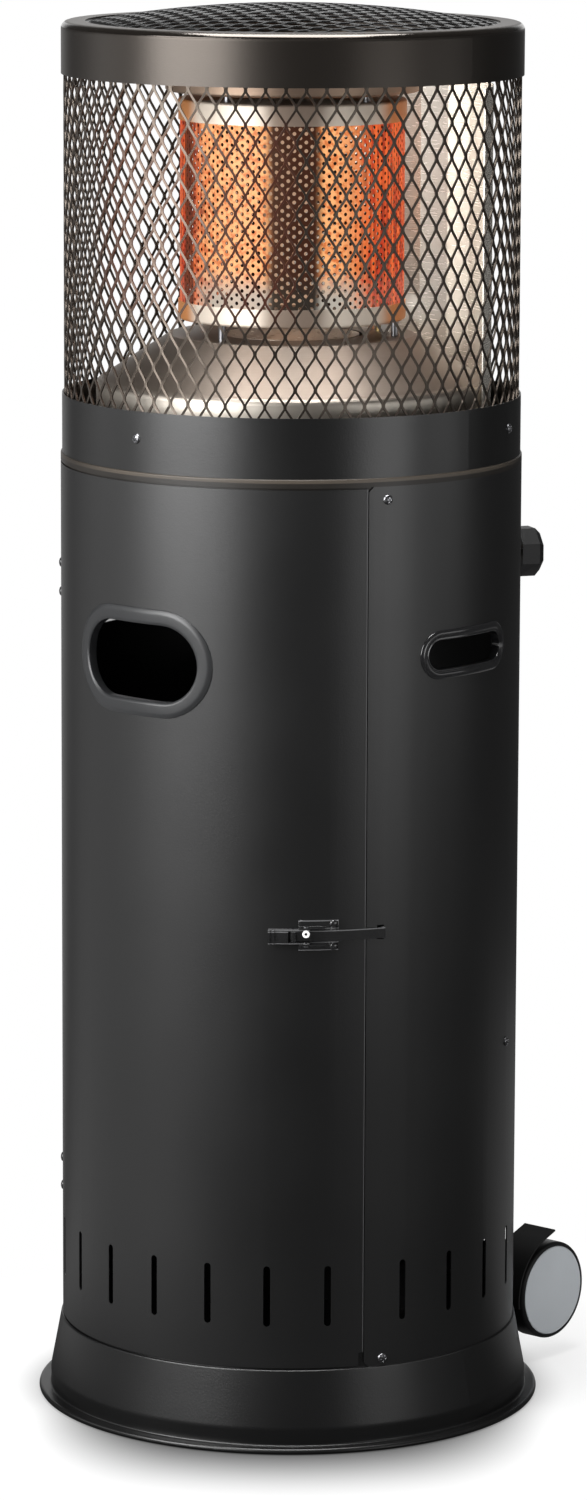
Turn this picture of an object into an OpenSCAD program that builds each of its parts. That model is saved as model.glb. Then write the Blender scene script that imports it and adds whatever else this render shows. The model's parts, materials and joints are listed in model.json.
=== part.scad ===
// Free-standing gas heater: a sheet-metal casing with a hinged door, and a caged burner on top.
// The origin is on the casing's axis at floor level. The door faces -Y, +X is to its right.
// Angles round the casing are measured from the door's middle towards +X.

/* [Casing] */
// Outer radius of the sheet-metal casing
body_r = 188; // [182:1:200]
// Thickness of the casing sheet
sheet = 1.2; // [0.9:0.1:1.6]
// Height of the casing's lower edge above the floor
body_bottom_z = 65.5; // [58:0.5:75]
// Height of the casing
body_h = 716; // [670:1:760]
// Half of the angle that the door spans
door_half_angle = 60; // [58:1:62]
// Width of the seam beside the door
seam_gap = 0.8; // [0.6:0.1:1.2]
// Gap above and below the door
door_gap = 1.5; // [1:0.1:3]
// Depth of the folded edges at the latch seam
fold_depth = 14; // [8:1:20]
// Distance of the folded edges from the casing's ends
fold_inset = 32; // [31:1:60]
// Size of the rear shell's cut corners beside the door
corner_cut = 4; // [2:0.5:6]
// Width of the relief notch at the foot of the door
notch_w = 4; // [2:0.5:5]
// Height of the relief notch
notch_h = 11; // [6:0.5:14]

/* [Vent slots] */
// Width of a vent slot
slot_w = 5.6; // [3:0.1:8]
// Height of a vent slot
slot_h = 50; // [30:1:70]
// Height of the slots above the casing's lower edge
slot_rise = 36; // [36:1:60]
// Number of slots in the door
door_slots = 8; // [4:2:8]
// Angle between the door's slots
door_slot_pitch = 15; // [10:0.5:15]
// Turn of the door's row of slots from the door's middle
door_slot_turn = -1.7; // [-2:0.1:2]
// Number of slots in the rear shell
rear_slots = 16; // [8:2:16]
// Angle between the rear shell's slots
rear_slot_pitch = 14.6; // [8:0.1:14.8]

/* [Base] */
// How far the floor flange reaches beyond the casing
flange_out = 20; // [16:1:30]
// Thickness of the rolled flange
flange_h = 5; // [4:0.5:8]
// How far the foot of the flared skirt reaches beyond the casing
skirt_out = 10; // [7:0.5:11]
// Height at which the skirt starts to lean in
skirt_bend_z = 19; // [12:1:25]
// Width of the step that the base shows outside the casing
base_step = 1.5; // [1:0.1:1.7]
// Thickness of the base's sheet
base_sheet = 1.5; // [1:0.1:2]
// Height of the base's upstand inside the casing
upstand_h = 12; // [10:1:20]
// Width of the base's ledge inside the casing
ledge_w = 14; // [10:1:20]
// Height of the floor that the bottle stands on
pan_floor_z = 26; // [15:1:40]

/* [Burner pan and guard] */
// Height of the collar on top of the casing
collar_h = 7; // [5:0.5:10]
// Depth of the pan's skirt inside the casing
pan_skirt_h = 28; // [20:1:30]
// Thickness of the pan's sheet
pan_sheet = 1.5; // [1:0.1:1.8]
// Height of the upright ring that the guard stands on
guard_seat_h = 35; // [32:1:40]
// How far the guard's lower band is set in from the casing
band_inset = 1.2; // [0.2:0.1:2.5]
// Height of the guard's lower band
band_h = 48; // [42:1:60]
// Height of the guard's mesh with its plain rims
guard_h = 295; // [270:1:340]
// Thickness of the mesh
mesh_t = 1.7; // [1.2:0.1:2.2]
// Number of diamonds round the guard
mesh_columns = 36; // [24:2:40]
// Number of half diamonds up the guard
mesh_rows = 11; // [7:1:12]
// Half of the width of a mesh strand
mesh_strand = 1.2; // [0.8:0.1:1.6]
// Height of the mesh's plain rims
mesh_rim = 9; // [6:1:12]

/* [Top cap] */
// How far the cap ring stands out from the guard's band
cap_out = 0.2; // [0.1:0.1:5]
// Height of the cap ring
cap_h = 42; // [36:1:50]
// How far the cap reaches down over the mesh
cap_lap = 24; // [18:1:28]
// Radius of the cap's rounded edge
cap_edge_r = 6; // [3:0.5:8]
// Width of the cap's lip
lip_w = 19.6; // [15:0.2:28]
// Rise of the domed grille above the cap
grille_rise = 14; // [8:1:25]
// Thickness of the grille's sheet
grille_t = 1.5; // [1:0.1:2]
// Width of a diamond of the grille
grille_w = 24; // [22:1:40]
// Length of a diamond of the grille
grille_l = 42; // [36:1:60]
// Width of a grille strand
grille_strand = 3; // [2:0.1:4]

/* [Reflectors and emitter] */
// Height of the dome reflector's flat top above the pan
dome_h = 97; // [90:1:115]
// Height of the dome reflector's shoulder above the pan
dome_shoulder_h = 62; // [50:1:75]
// Distance of the dome reflector's wall from the guard
dome_inset = 26.2; // [25:0.2:35]
// Radius of the dome reflector's flat top
dome_flat_r = 100; // [98:1:120]
// Thickness of the reflectors
reflector_t = 1; // [0.8:0.1:1.5]
// Distance of the rear reflector from the dome reflector's wall
reflector_gap = 4; // [3.5:0.5:12]
// Half of the angle that the rear reflector spans
rear_reflector_half_angle = 68; // [40:1:80]
// Height of the rear reflector
rear_reflector_h = 299; // [250:1:305]
// Number of flat facets of the rear reflector
reflector_facets = 12; // [11:1:20]
// Outer radius of the perforated emitter
emitter_r = 91; // [85:1:97]
// Height of the emitter
emitter_h = 176; // [160:1:180]
// Height of the feet under the emitter
feet_h = 13; // [8:0.5:15]
// Radius of a foot under the emitter
feet_r = 3; // [2:0.5:4]
// Thickness of the emitter's sheet
emitter_t = 1; // [0.8:0.1:1.5]
// Height of the rim round the emitter's lower end
emitter_rim_h = 15; // [10:0.5:20]
// Number of holes round the emitter
emitter_columns = 30; // [20:2:36]
// Number of rows of holes
emitter_rows = 8; // [4:1:9]
// Radius of an emitter hole
emitter_hole_r = 5; // [3:0.5:5.5]
// Height of the emitter lid's rim
lid_h = 16; // [8:1:20]
// Length of the standoffs under the deflector
standoff_h = 6; // [5:0.5:8]
// Radius of a standoff
standoff_r = 3; // [2:0.5:4]
// Radius of the deflector
deflector_r = 103; // [98:1:110]
// Height of the deflector's rim
deflector_h = 18; // [10:1:20]

/* [Handles] */
// Distance of the door's hand hole below the casing's top
handle_drop = 145; // [125:1:200]
// Distance of the side carrying slots below the casing's top
side_drop = 138.5; // [110:0.5:200]
// Length of the door's hand hole
front_hole_w = 118; // [90:1:130]
// Height of the door's hand hole
front_hole_h = 64; // [40:1:70]
// Width of the door's trim
front_trim_w = 11.5; // [8:0.5:14]
// Length of a side carrying slot
side_hole_w = 91; // [80:1:110]
// Height of a side carrying slot
side_hole_h = 25.5; // [20:0.5:32]
// Width of a side slot's trim
side_trim_w = 7; // [5:0.5:9]
// Angle of the side slots from the door's middle
side_handle_angle = 90.5; // [90:0.5:96]
// How far a trim stands proud of the sheet
trim_proud = 2; // [1:0.1:3]
// Wall of the trims inside the holes
trim_wall = 3; // [2:0.1:4]
// Depth of the trims behind the sheet
trim_depth = 6; // [4:0.5:10]

/* [Hinges] */
// Radius of a hinge knuckle
knuckle_r = 3; // [2.6:0.1:3.6]
// Radius of a hinge pin
hinge_pin_r = 1.5; // [1.2:0.1:1.7]
// Height of a hinge
hinge_h = 40; // [30:1:60]
// Thickness of a hinge leaf
leaf_t = 1.2; // [1:0.1:1.5]
// Distance of the upper hinge below the casing's top
hinge_drop = 99; // [75:1:110]
// Distance of the lower hinge above the casing's lower edge
hinge_rise = 116; // [112:1:160]
// Angle from the seam to a hinge's rivets
hinge_rivet_angle = 9; // [6:0.5:12]

/* [Latch] */
// Angle of the latch's pivot from the door's middle
latch_angle = 45; // [44:0.5:46]
// Distance of the pivot from the casing
latch_pivot_h = 5; // [5:0.1:6]
// Angle of the lever's tip from the pivot
lever_angle = 9; // [8:0.5:12]
// Angle of the strap's pin from the pivot
strap_pin_angle = 3; // [2.9:0.1:3.4]
// Radius of the latch's pins
latch_pin_r = 1.3; // [1:0.1:1.4]
// Half of the lever's height
lever_half = 5.8; // [5:0.1:7]
// Thickness of the latch's sheet
latch_sheet = 1.2; // [1:0.1:1.4]
// Width of the slot in the rear shell
catch_w = 6; // [5.5:0.1:8]
// Distance of the slot's middle from the seam
catch_offset = 12.5; // [11:0.5:16]
// Depth of the strap's hook in the slot
hook_depth = 1.6; // [1.2:0.1:1.8]

/* [Gas control] */
// Angle of the control knob from the door's middle
knob_angle = 150; // [145:1:155]
// Distance of the knob below the casing's top
knob_drop = 85; // [75:1:130]
// Radius of the knob across its corners
knob_r = 21.5; // [17:0.5:25]
// Thickness of the knob
knob_h = 20; // [12:0.5:24]
// Gap between the knob and the casing
knob_gap = 8; // [5.5:0.5:10]
// Travel of the knob when it is pushed
knob_travel = 4; // [2:0.5:4.5]
// Radius of the valve's spindle
spindle_r = 4; // [3:0.1:5]
// Radius of the valve's body
valve_r = 15; // [14:0.5:18]
// Radius of the gas inlet spigot
inlet_r = 6.6; // [5:0.1:8]
// Length of the gas inlet spigot
inlet_l = 20; // [15:1:25]
// Radius of the gas pipe
pipe_r = 4; // [3:0.5:5]
// Radius of the mixing tube
tube_r = 16; // [14:0.5:18]
// Radius of the burner head
burner_r = 55; // [40:1:58]
// Height of the burner head
burner_h = 24; // [15:1:30]

/* [Wheels] */
// Radius of a wheel
wheel_r = 41.5; // [38:0.5:43]
// Width of a wheel
wheel_w = 22; // [18:1:24]
// Distance of a wheel's middle from the middle of the part
wheel_x = 104.5; // [100:0.5:110]
// Distance of the axles behind the casing
wheel_out = 23; // [22:0.5:32]
// Height of the axles
wheel_z = 59; // [54:0.5:66]
// Radius of an axle
axle_r = 4; // [3:0.5:5]
// Radius of a hub disc
hub_disc_r = 38; // [30:0.5:38]
// Width of a wheel's hood
hood_w = 33; // [31:0.5:36]
// Gap between a wheel and its hood
hood_gap = 10.5; // [6:0.5:12]
// Thickness of the wheel bracket's sheet
bracket_sheet = 1.5; // [1.2:0.1:2]

/* [Fasteners and fits] */
// Radius of a screw's head
screw_head_r = 4; // [3:0.5:5]
// Radius of a screw's shank
screw_r = 2; // [1.5:0.1:2.5]
// Radius of a latch rivet's head
rivet_head_r = 3; // [2.7:0.1:3.5]
// Angle from the seam to the screws beside it
seam_screw_angle = 5; // [4:0.5:8]
// Angle from the seam to the screws at the back
back_screw_angle = 52; // [50:0.5:60]
// Angle between the front screw of the guard's band and its neighbours
band_screw_angle = 110.5; // [90:0.5:120]
// Radial clearance of screws, rivets and seated curved sheets
seat_gap = 0.1; // [0.05:0.01:0.15]
// Gap between curved pieces that move past each other or nest
nest_gap = 0.4; // [0.3:0.05:0.5]
// Radial clearance of a running fit
run_gap = 0.06; // [0.03:0.01:0.1]

/* [Hidden] */
$fn = 96;
eps = 0.01;
far = 60;

// Heights and radii that follow from the driving sizes
body_in_r = body_r - sheet;
flange_r = body_r + flange_out;
skirt_foot_r = body_r + skirt_out;
band_r = body_r - band_inset;
cap_r = band_r + cap_out;
lip_r = cap_r - lip_w;
body_top_z = body_bottom_z + body_h;
inner_ring_r = body_in_r - nest_gap;
ledge_in_r = body_r - ledge_w;
door_bottom_z = body_bottom_z + door_gap;
door_h = body_h - 2 * door_gap;
slot_z = body_bottom_z + slot_rise;
handle_z = body_top_z - handle_drop;
side_z = body_top_z - side_drop;
collar_top_z = body_top_z + collar_h;
pan_top_z = collar_top_z - pan_sheet;
guard_z = collar_top_z + guard_seat_h;
guard_top_z = guard_z + guard_h;
mesh_r = band_r - sheet - nest_gap;
dome_r = mesh_r - dome_inset;
rear_reflector_r = dome_r + reflector_gap;
wheel_y = body_r + wheel_out;
cap_z = guard_top_z - cap_lap;
cap_top_z = cap_z + cap_h;
dome_z = pan_top_z + dome_h;
emitter_base_z = dome_z + feet_h;
emitter_z = emitter_base_z + emitter_t;
emitter_top_z = emitter_z + emitter_h;
lid_top_z = emitter_top_z + emitter_t;
deflector_z = lid_top_z + standoff_h;
latch_z = body_bottom_z + body_h / 2;
knob_z = body_top_z - knob_drop;
hinge_zs = [body_bottom_z + hinge_rise, body_top_z - hinge_drop];
burner_z = dome_z - burner_h;
dome_hole_r = burner_r + 3;
tube_hole_r = tube_r + nest_gap;
knuckle_gap = 0.4;
pin_head = 0.9;
leaf_r = body_in_r - seat_gap;
screw_hole_r = screw_r + seat_gap;

// Screws through the casing: angle and height
body_screw_places = [
    for (side = [-1, 1], place = [
        [door_half_angle + seam_screw_angle, body_bottom_z + upstand_h / 2],
        [door_half_angle + seam_screw_angle, body_top_z - pan_skirt_h * 3 / 8],
        [door_half_angle + back_screw_angle, body_bottom_z + body_h * 0.34]
    ]) [side * place[0], place[1]]
];
band_screw_angles = [-band_screw_angle, 0, band_screw_angle];
band_screw_z = collar_top_z + guard_seat_h * 3 / 4;

// Points of an arc round c from angle a0 to angle a1
function arc(c, r, a0, a1, n = 8) =
    [for (i = [0:n]) c + r * [cos(a0 + (a1 - a0) * i / n), sin(a0 + (a1 - a0) * i / n)]];

// Angle that a length spans on the casing
function angle_of(length) = length / body_r * 180 / PI;

// Places children on the casing: x runs round it, y up and z outwards
module on_casing(angle, r, z)
    rotate([0, 0, angle]) translate([0, -r, z]) rotate([90, 0, 0]) children();

// Part of a ring between two angles round the casing
module sector(r_out, r_in, a0, a1, z, h)
    rotate([0, 0, a0 - 90]) rotate_extrude(angle = a1 - a0)
        translate([r_in, z]) square([r_out - r_in, h]);

module ring(r_out, r_in, z, h)
    rotate_extrude() translate([r_in, z]) square([r_out - r_in, h]);

// Prism with round ends, lying along x
module stadium(w, h, depth) {
    straight = w - h;
    translate([-straight / 2, -h / 2, 0]) cube([straight, h, depth]);
    for (side = [-1, 1])
        translate([side * straight / 2, 0, 0]) cylinder(d = h, h = depth);
}

// Cutter for one vent slot at the given angle
module slot_cut(angle)
    on_casing(angle, body_r + sheet, slot_z + slot_h / 2)
        rotate([0, 0, 90]) translate([0, 0, -far / 4]) stadium(slot_h, slot_w, far / 4);

module slot_row(count, pitch, middle)
    for (i = [0:count - 1]) slot_cut(middle + (i - (count - 1) / 2) * pitch);

// Oval cutter through the casing
module oval_cut(angle, z, w, h)
    on_casing(angle, body_r - far / 2, z) stadium(w, h, far);

module screw_hole(angle, r, z)
    on_casing(angle, r - far / 4, z) cylinder(r = screw_hole_r, h = far / 2);

// Round-head screw or rivet, head outwards, its shank reaching length below the head
module screw(length, head_r = screw_head_r) {
    dome = head_r / 2;
    steps = 6;
    rotate_extrude() polygon(concat(
        [[0, -length], [screw_r, -length], [screw_r, 0], [head_r, 0]],
        [for (i = [1:steps]) let (a = 90 * i / steps) [head_r * cos(a), dome * sin(a)]]
    ));
}

module hinge_notch(z)
    on_casing(-door_half_angle, body_r - far / 4, z)
        translate([-knuckle_r - nest_gap, -hinge_h / 2 - nest_gap, 0])
            cube([2 * (knuckle_r + nest_gap), hinge_h + pin_head + 2 * nest_gap, far / 2]);

// Base
module base_skirt() color("#2a2a2b") {
    rim_r = flange_h / 2;
    step_r = body_r + base_step;
    lean = atan((skirt_foot_r - step_r) / (body_bottom_z - skirt_bend_z));
    shoulder_r = base_step * 0.9;
    fillet_r = base_sheet;
    bend_r = skirt_bend_z;
    bend_z = skirt_bend_z - bend_r * tan(lean / 2);
    rotate_extrude() polygon(concat(
        arc([flange_r - rim_r, rim_r], rim_r, -90, 90),
        arc([skirt_foot_r + fillet_r, flange_h + fillet_r], fillet_r, 270, 180, 4),
        arc([skirt_foot_r - bend_r, bend_z], bend_r, 0, lean, 5),
        arc([step_r - shoulder_r, body_bottom_z - shoulder_r], shoulder_r, lean, 90, 5),
        [
            [ledge_in_r, body_bottom_z],
            [ledge_in_r, body_bottom_z - base_sheet],
            [step_r - base_sheet, body_bottom_z - base_sheet],
            [skirt_foot_r - base_sheet, skirt_bend_z],
            [skirt_foot_r - base_sheet, 0]
        ]
    ));
    difference() {
        ring(inner_ring_r, inner_ring_r - base_sheet, body_bottom_z - eps, upstand_h + eps);
        for (place = body_screw_places) screw_hole(place[0], body_r, place[1]);
    }
}

module base_pan() color("#353536") {
    wall_r = ledge_in_r - nest_gap;
    rim_r = inner_ring_r - base_sheet - nest_gap;
    rotate_extrude() polygon([
        [0, pan_floor_z - base_sheet],
        [wall_r, pan_floor_z - base_sheet],
        [wall_r, body_bottom_z],
        [rim_r, body_bottom_z],
        [rim_r, body_bottom_z + base_sheet],
        [wall_r - base_sheet, body_bottom_z + base_sheet],
        [wall_r - base_sheet, pan_floor_z],
        [0, pan_floor_z]
    ]);
}

// Casing
module rear_shell() color("#2d2d2f") {
    edge = door_half_angle + angle_of(seam_gap) / 2;
    catch_angle = door_half_angle + angle_of(catch_offset);
    difference() {
        sector(body_r, body_in_r, edge, 360 - edge, body_bottom_z, body_h);
        slot_row(rear_slots, rear_slot_pitch, 180);
        for (side = [-1, 1]) oval_cut(side * side_handle_angle, side_z, side_hole_w, side_hole_h);
        for (place = body_screw_places) screw_hole(place[0], body_r, place[1]);
        for (place = bracket_screw_places) screw_hole(place[0], body_r, place[1]);
        for (z = hinge_zs) hinge_notch(z);
        for (z = hinge_zs, place = hinge_rivet_places(-1)) screw_hole(place[0], body_r, z + place[1]);
        on_casing(knob_angle, body_r - far / 4, knob_z) cylinder(r = boss_r + seat_gap, h = far / 2);
        on_casing(catch_angle, body_r - far / 4, latch_z)
            translate([-catch_w / 2, -lever_half, 0]) cube([catch_w, 2 * lever_half, far / 2]);
        for (side = [-1, 1], z = [body_bottom_z, body_top_z])
            on_casing(side * edge, body_r - far / 4, z) linear_extrude(far / 2)
                polygon([[-corner_cut, 0], [0, corner_cut], [corner_cut, 0], [0, -corner_cut]]);
    }
    rotate([0, 0, edge]) translate([0, -body_in_r - sheet / 2, body_bottom_z + fold_inset])
        cube([sheet, fold_depth, body_h - 2 * fold_inset]);
}

module door_panel() color("#2d2d2f") {
    edge = door_half_angle - angle_of(seam_gap) / 2;
    difference() {
        sector(body_r, body_in_r, -edge, edge, door_bottom_z, door_h);
        slot_row(door_slots, door_slot_pitch, door_slot_turn);
        oval_cut(0, handle_z, front_hole_w, front_hole_h);
        for (z = hinge_zs) hinge_notch(z);
        for (z = hinge_zs, place = hinge_rivet_places(1)) screw_hole(place[0], body_r, z + place[1]);
        for (place = latch_rivet_places) screw_hole(place[0], body_r, place[1]);
        on_casing(edge, body_r - far / 4, body_bottom_z)
            translate([-notch_w, 0, 0]) cube([2 * notch_w, door_gap + notch_h, far / 2]);
    }
    rotate([0, 0, edge]) translate([-sheet, -body_in_r - sheet / 2, body_bottom_z + fold_inset])
        cube([sheet, fold_depth, body_h - 2 * fold_inset]);
}

// Rim of an oval hole, gripping the sheet's edge and lying on its outer face
module oval_trim(angle, z, w, h, rim) {
    difference() {
        union() {
            intersection() {
                ring(body_r + trim_proud, body_r + seat_gap, z - far, 2 * far);
                oval_cut(angle, z, w + 2 * rim, h + 2 * rim);
            }
            intersection() {
                ring(body_r + trim_proud, body_in_r - trim_depth, z - far, 2 * far);
                oval_cut(angle, z, w - 2 * seat_gap, h - 2 * seat_gap);
            }
        }
        oval_cut(angle, z, w - 2 * trim_wall, h - 2 * trim_wall);
    }
}

module front_handle_trim() color("#6b6d70")
    oval_trim(0, handle_z, front_hole_w, front_hole_h, front_trim_w);
module side_handle_right() color("#161617")
    oval_trim(side_handle_angle, side_z, side_hole_w, side_hole_h, side_trim_w);
module side_handle_left() color("#161617")
    oval_trim(-side_handle_angle, side_z, side_hole_w, side_hole_h, side_trim_w);

// Burner pan and guard
module burner_pan() color("#4a423b") {
    edge_r = 1.2;
    difference() {
        rotate_extrude() polygon(concat(
            [
                [inner_ring_r - pan_sheet, body_top_z - pan_skirt_h],
                [inner_ring_r, body_top_z - pan_skirt_h],
                [inner_ring_r, body_top_z],
                [body_r, body_top_z]
            ],
            arc([body_r - edge_r, collar_top_z - edge_r], edge_r, 0, 90, 4),
            [
                [mesh_r, collar_top_z],
                [mesh_r, guard_z],
                [mesh_r - mesh_t, guard_z],
                [mesh_r - mesh_t, pan_top_z],
                [tube_hole_r, pan_top_z],
                [tube_hole_r, pan_top_z - pan_sheet],
                [inner_ring_r - pan_sheet, pan_top_z - pan_sheet]
            ]
        ));
        for (place = body_screw_places) screw_hole(place[0], body_r, place[1]);
        for (angle = band_screw_angles) screw_hole(angle, band_r, band_screw_z);
    }
}

module guard_band() color("#2f2d2c") difference() {
    ring(band_r, band_r - sheet, collar_top_z, band_h);
    for (angle = band_screw_angles) screw_hole(angle, band_r, band_screw_z);
}

// The mesh is one closed skin. Its corners lie on lines 0 to mesh_rows, each line half a
// diamond above the last and shifted by half a diamond. A strand is flat outside and has a
// ridge inside, so each side of a diamond is two flat strips.
mesh_line_z = function(j) guard_z + mesh_rim + (guard_h - 2 * mesh_rim) * j / mesh_rows;
mesh_angle = function(k, j) (k + (j % 2) / 2) * 360 / mesh_columns;
function mesh_point(r, angle, z) = [r * sin(angle), -r * cos(angle), z];
function mesh_index(k, j) = j * mesh_columns + (k + mesh_columns) % mesh_columns;

// Corners of the cell whose middle is on line j: left, right, top and bottom, inside the guard
function mesh_cell(k, j) = let (side = j % 2) [
    [k, j], if (j > 0) [k + side, j - 1], [k + 1, j], if (j < mesh_rows) [k + side, j + 1]
];

module guard_mesh() color("#1f1b19") {
    lines = mesh_rows + 1;
    corner_count = lines * mesh_columns;
    half_w = PI * mesh_r / mesh_columns;
    half_h = (guard_h - 2 * mesh_rim) / mesh_rows;
    inset = mesh_strand * norm([half_w, half_h]) / (half_w * half_h);
    cells = [for (j = [0:mesh_rows], k = [0:mesh_columns - 1]) mesh_cell(k, j)];

    corners = [for (r = [mesh_r, mesh_r - mesh_t], j = [0:mesh_rows], k = [0:mesh_columns - 1])
        mesh_point(r, mesh_angle(k, j), mesh_line_z(j))];
    // Hole corners, drawn in towards the middle of each cell
    hole_corners = [for (cell = cells) let (
        flat = [for (c = cell) [mesh_angle(c[0], c[1]), mesh_line_z(c[1])]],
        shown = len(cell),
        middle = [for (axis = [0, 1]) [for (p = flat) p[axis]] * [for (p = flat) 1] / shown],
        drawn = shown == 4 ? 1 - inset : 1 - 2 * inset
    ) [for (p = flat) let (q = middle + drawn * (p - middle)) mesh_point(mesh_r, q[0], q[1])]];
    starts = [for (i = 0, at = 2 * corner_count; i < len(cells); at = at + len(cells[i]), i = i + 1) at];
    rims = [for (z = [guard_z, guard_top_z], r = [mesh_r, mesh_r - mesh_t], k = [0:mesh_columns - 1])
        mesh_point(r, mesh_angle(k, z == guard_z ? 0 : mesh_rows), z)];
    points = concat(corners, [for (hole = hole_corners) each hole], rims);
    rim_start = len(points) - len(rims);

    strand_faces = [for (i = [0:len(cells) - 1]) let (cell = cells[i], n = len(cell)) for (e = [0:n - 1])
        let (
            a = mesh_index(cell[e][0], cell[e][1]),
            b = mesh_index(cell[(e + 1) % n][0], cell[(e + 1) % n][1]),
            p = starts[i] + e,
            q = starts[i] + (e + 1) % n
        ) each [[a, p, q], [a, q, b], [p, a + corner_count, b + corner_count], [p, b + corner_count, q]]
    ];
    rim_faces = [for (end = [0, 1], k = [0:mesh_columns - 1]) let (
        line = end == 0 ? 0 : mesh_rows,
        next = (k + 1) % mesh_columns,
        a = mesh_index(k, line),
        b = mesh_index(next, line),
        c = rim_start + 2 * end * mesh_columns + k,
        d = rim_start + 2 * end * mesh_columns + next,
        c_in = c + mesh_columns,
        d_in = d + mesh_columns,
        skin = [
            [a, b, d], [a, d, c], [c, d, d_in], [c, d_in, c_in],
            [c_in, d_in, b + corner_count], [c_in, b + corner_count, a + corner_count]
        ]
    ) each end == 0 ? skin : [for (f = skin) [f[2], f[1], f[0]]]];
    polyhedron(points, concat(strand_faces, rim_faces));
}

module top_cap() color("#343231") {
    wall_r = cap_r - sheet;
    hem_r = mesh_r + nest_gap;
    edge_z = cap_top_z - cap_edge_r;
    hem_z = guard_top_z + sheet;
    rotate_extrude() polygon(concat(
        [[hem_r, cap_z], [cap_r, cap_z]],
        arc([cap_r - cap_edge_r, edge_z], cap_edge_r, 0, 90),
        [[lip_r, cap_top_z], [lip_r, cap_top_z - sheet]],
        arc([cap_r - cap_edge_r, edge_z], cap_edge_r - sheet, 90, 0),
        [[wall_r, hem_z], [mesh_r - mesh_t, hem_z], [mesh_r - mesh_t, guard_top_z], [hem_r, guard_top_z]]
    ));
}

module top_grille() color("#211f1e") {
    rim_w = 7;
    plain_w = 3;
    open_r = lip_r - grille_t;
    rim_z = cap_top_z - sheet - grille_t;
    dome_base_z = cap_top_z - sheet;
    rise = grille_rise + sheet;
    ball_r = (open_r * open_r + rise * rise) / (2 * rise);
    ball_z = dome_base_z + rise - ball_r;
    columns = ceil(open_r / grille_w) + 1;
    rows = ceil(2 * open_r / grille_l) + 1;
    half_w = (grille_w - grille_strand * norm([grille_w, grille_l]) / grille_l) / 2;
    half_l = half_w * grille_l / grille_w;
    steps = 12;
    difference() {
        rotate_extrude() polygon(concat(
            [[0, ball_z + ball_r - grille_t], [0, ball_z + ball_r]],
            [for (i = [1:steps]) let (r = open_r * i / steps) [r, ball_z + sqrt(ball_r * ball_r - r * r)]],
            [
                [open_r + rim_w, dome_base_z],
                [open_r + rim_w, rim_z]
            ],
            [for (i = [steps:-1:1]) let (r = open_r * i / steps)
                [r, ball_z + sqrt(ball_r * ball_r - r * r) - grille_t]]
        ));
        intersection() {
            translate([0, 0, rim_z - grille_t]) cylinder(r = open_r - plain_w, h = rise + 4 * grille_t);
            for (j = [-rows:rows], i = [-columns:columns]) {
                x = (i + abs(j % 2) / 2) * grille_w;
                y = j * grille_l / 2;
                if (norm([x, y]) < open_r + grille_w / 4)
                    translate([x, y, rim_z - 2 * grille_t]) linear_extrude(rise + 6 * grille_t)
                        polygon([[half_w, 0], [0, half_l], [-half_w, 0], [0, -half_l]]);
            }
        }
    }
}

// Reflectors and emitter
module dome_reflector() color("#b5aca0") {
    shoulder_z = pan_top_z + dome_shoulder_h;
    round_r = 6;
    turn = 75;
    corner = [dome_r - round_r, shoulder_z - round_r];
    difference() {
        rotate_extrude() polygon(concat(
            [[dome_r, pan_top_z]],
            arc(corner, round_r, 0, turn, 5),
            [[dome_flat_r, dome_z], [dome_hole_r, dome_z], [dome_hole_r, dome_z - reflector_t],
                [dome_flat_r, dome_z - reflector_t]],
            arc(corner, round_r - reflector_t, turn, 0, 5),
            [[dome_r - reflector_t, pan_top_z]]
        ));
        for (i = [-1:1]) pilot_place(i) cylinder(r = pilot_r + nest_gap, h = 2 * dome_h);
    }
}

module rear_reflector() color("#cfc8bb") {
    a0 = 90 - rear_reflector_half_angle;
    a1 = 90 + rear_reflector_half_angle;
    translate([0, 0, pan_top_z]) linear_extrude(rear_reflector_h) polygon(concat(
        arc([0, 0], rear_reflector_r, a0, a1, reflector_facets),
        arc([0, 0], rear_reflector_r - reflector_t, a1, a0, reflector_facets)
    ));
}

// Posts in a circle, standing between two heights
module posts(count, r, reach, z, h)
    for (i = [0:count - 1]) rotate([0, 0, i * 360 / count])
        translate([0, -reach, z]) cylinder(r = r, h = h);

module emitter_feet() color("#c4c4c2") posts(3, feet_r, emitter_r - 2 * feet_r, dome_z, feet_h);

module emitter_base() color("#a79e94") {
    rim_r = emitter_r + nest_gap + emitter_t;
    roll = 2 * emitter_t;
    difference() {
        rotate_extrude() polygon(concat(
            [[dome_hole_r, emitter_z], [dome_hole_r, emitter_base_z]],
            arc([rim_r - roll, emitter_base_z + roll], roll, -90, 0, 6),
            [
                [rim_r, emitter_base_z + emitter_rim_h],
                [rim_r - emitter_t, emitter_base_z + emitter_rim_h],
                [rim_r - emitter_t, emitter_z]
            ]
        ));
        for (i = [-1:1]) pilot_place(i) cylinder(r = pilot_r + nest_gap, h = 2 * dome_h);
    }
}

module emitter_screen() color("#c98a5b") difference() {
    ring(emitter_r, emitter_r - emitter_t, emitter_z, emitter_h);
    row_h = (emitter_h - emitter_rim_h - lid_h) / emitter_rows;
    for (j = [0:emitter_rows - 1], i = [0:emitter_columns - 1])
        on_casing(
            (i + (j % 2) / 2) * 360 / emitter_columns, emitter_r - 3 * emitter_t,
            emitter_z + emitter_rim_h + (j + 0.5) * row_h
        ) cylinder(r = emitter_hole_r, h = 5 * emitter_t, $fn = 6);
}

module emitter_lid() color("#b9a48e") {
    rim_in_r = emitter_r + nest_gap;
    rim_r = rim_in_r + emitter_t;
    roll = 2 * emitter_t;
    rotate_extrude() polygon(concat(
        [
            [0, emitter_top_z],
            [rim_in_r, emitter_top_z],
            [rim_in_r, emitter_top_z - lid_h],
            [rim_r, emitter_top_z - lid_h]
        ],
        arc([rim_r - roll, lid_top_z - roll], roll, 0, 90, 6),
        [[0, lid_top_z]]
    ));
}

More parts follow.
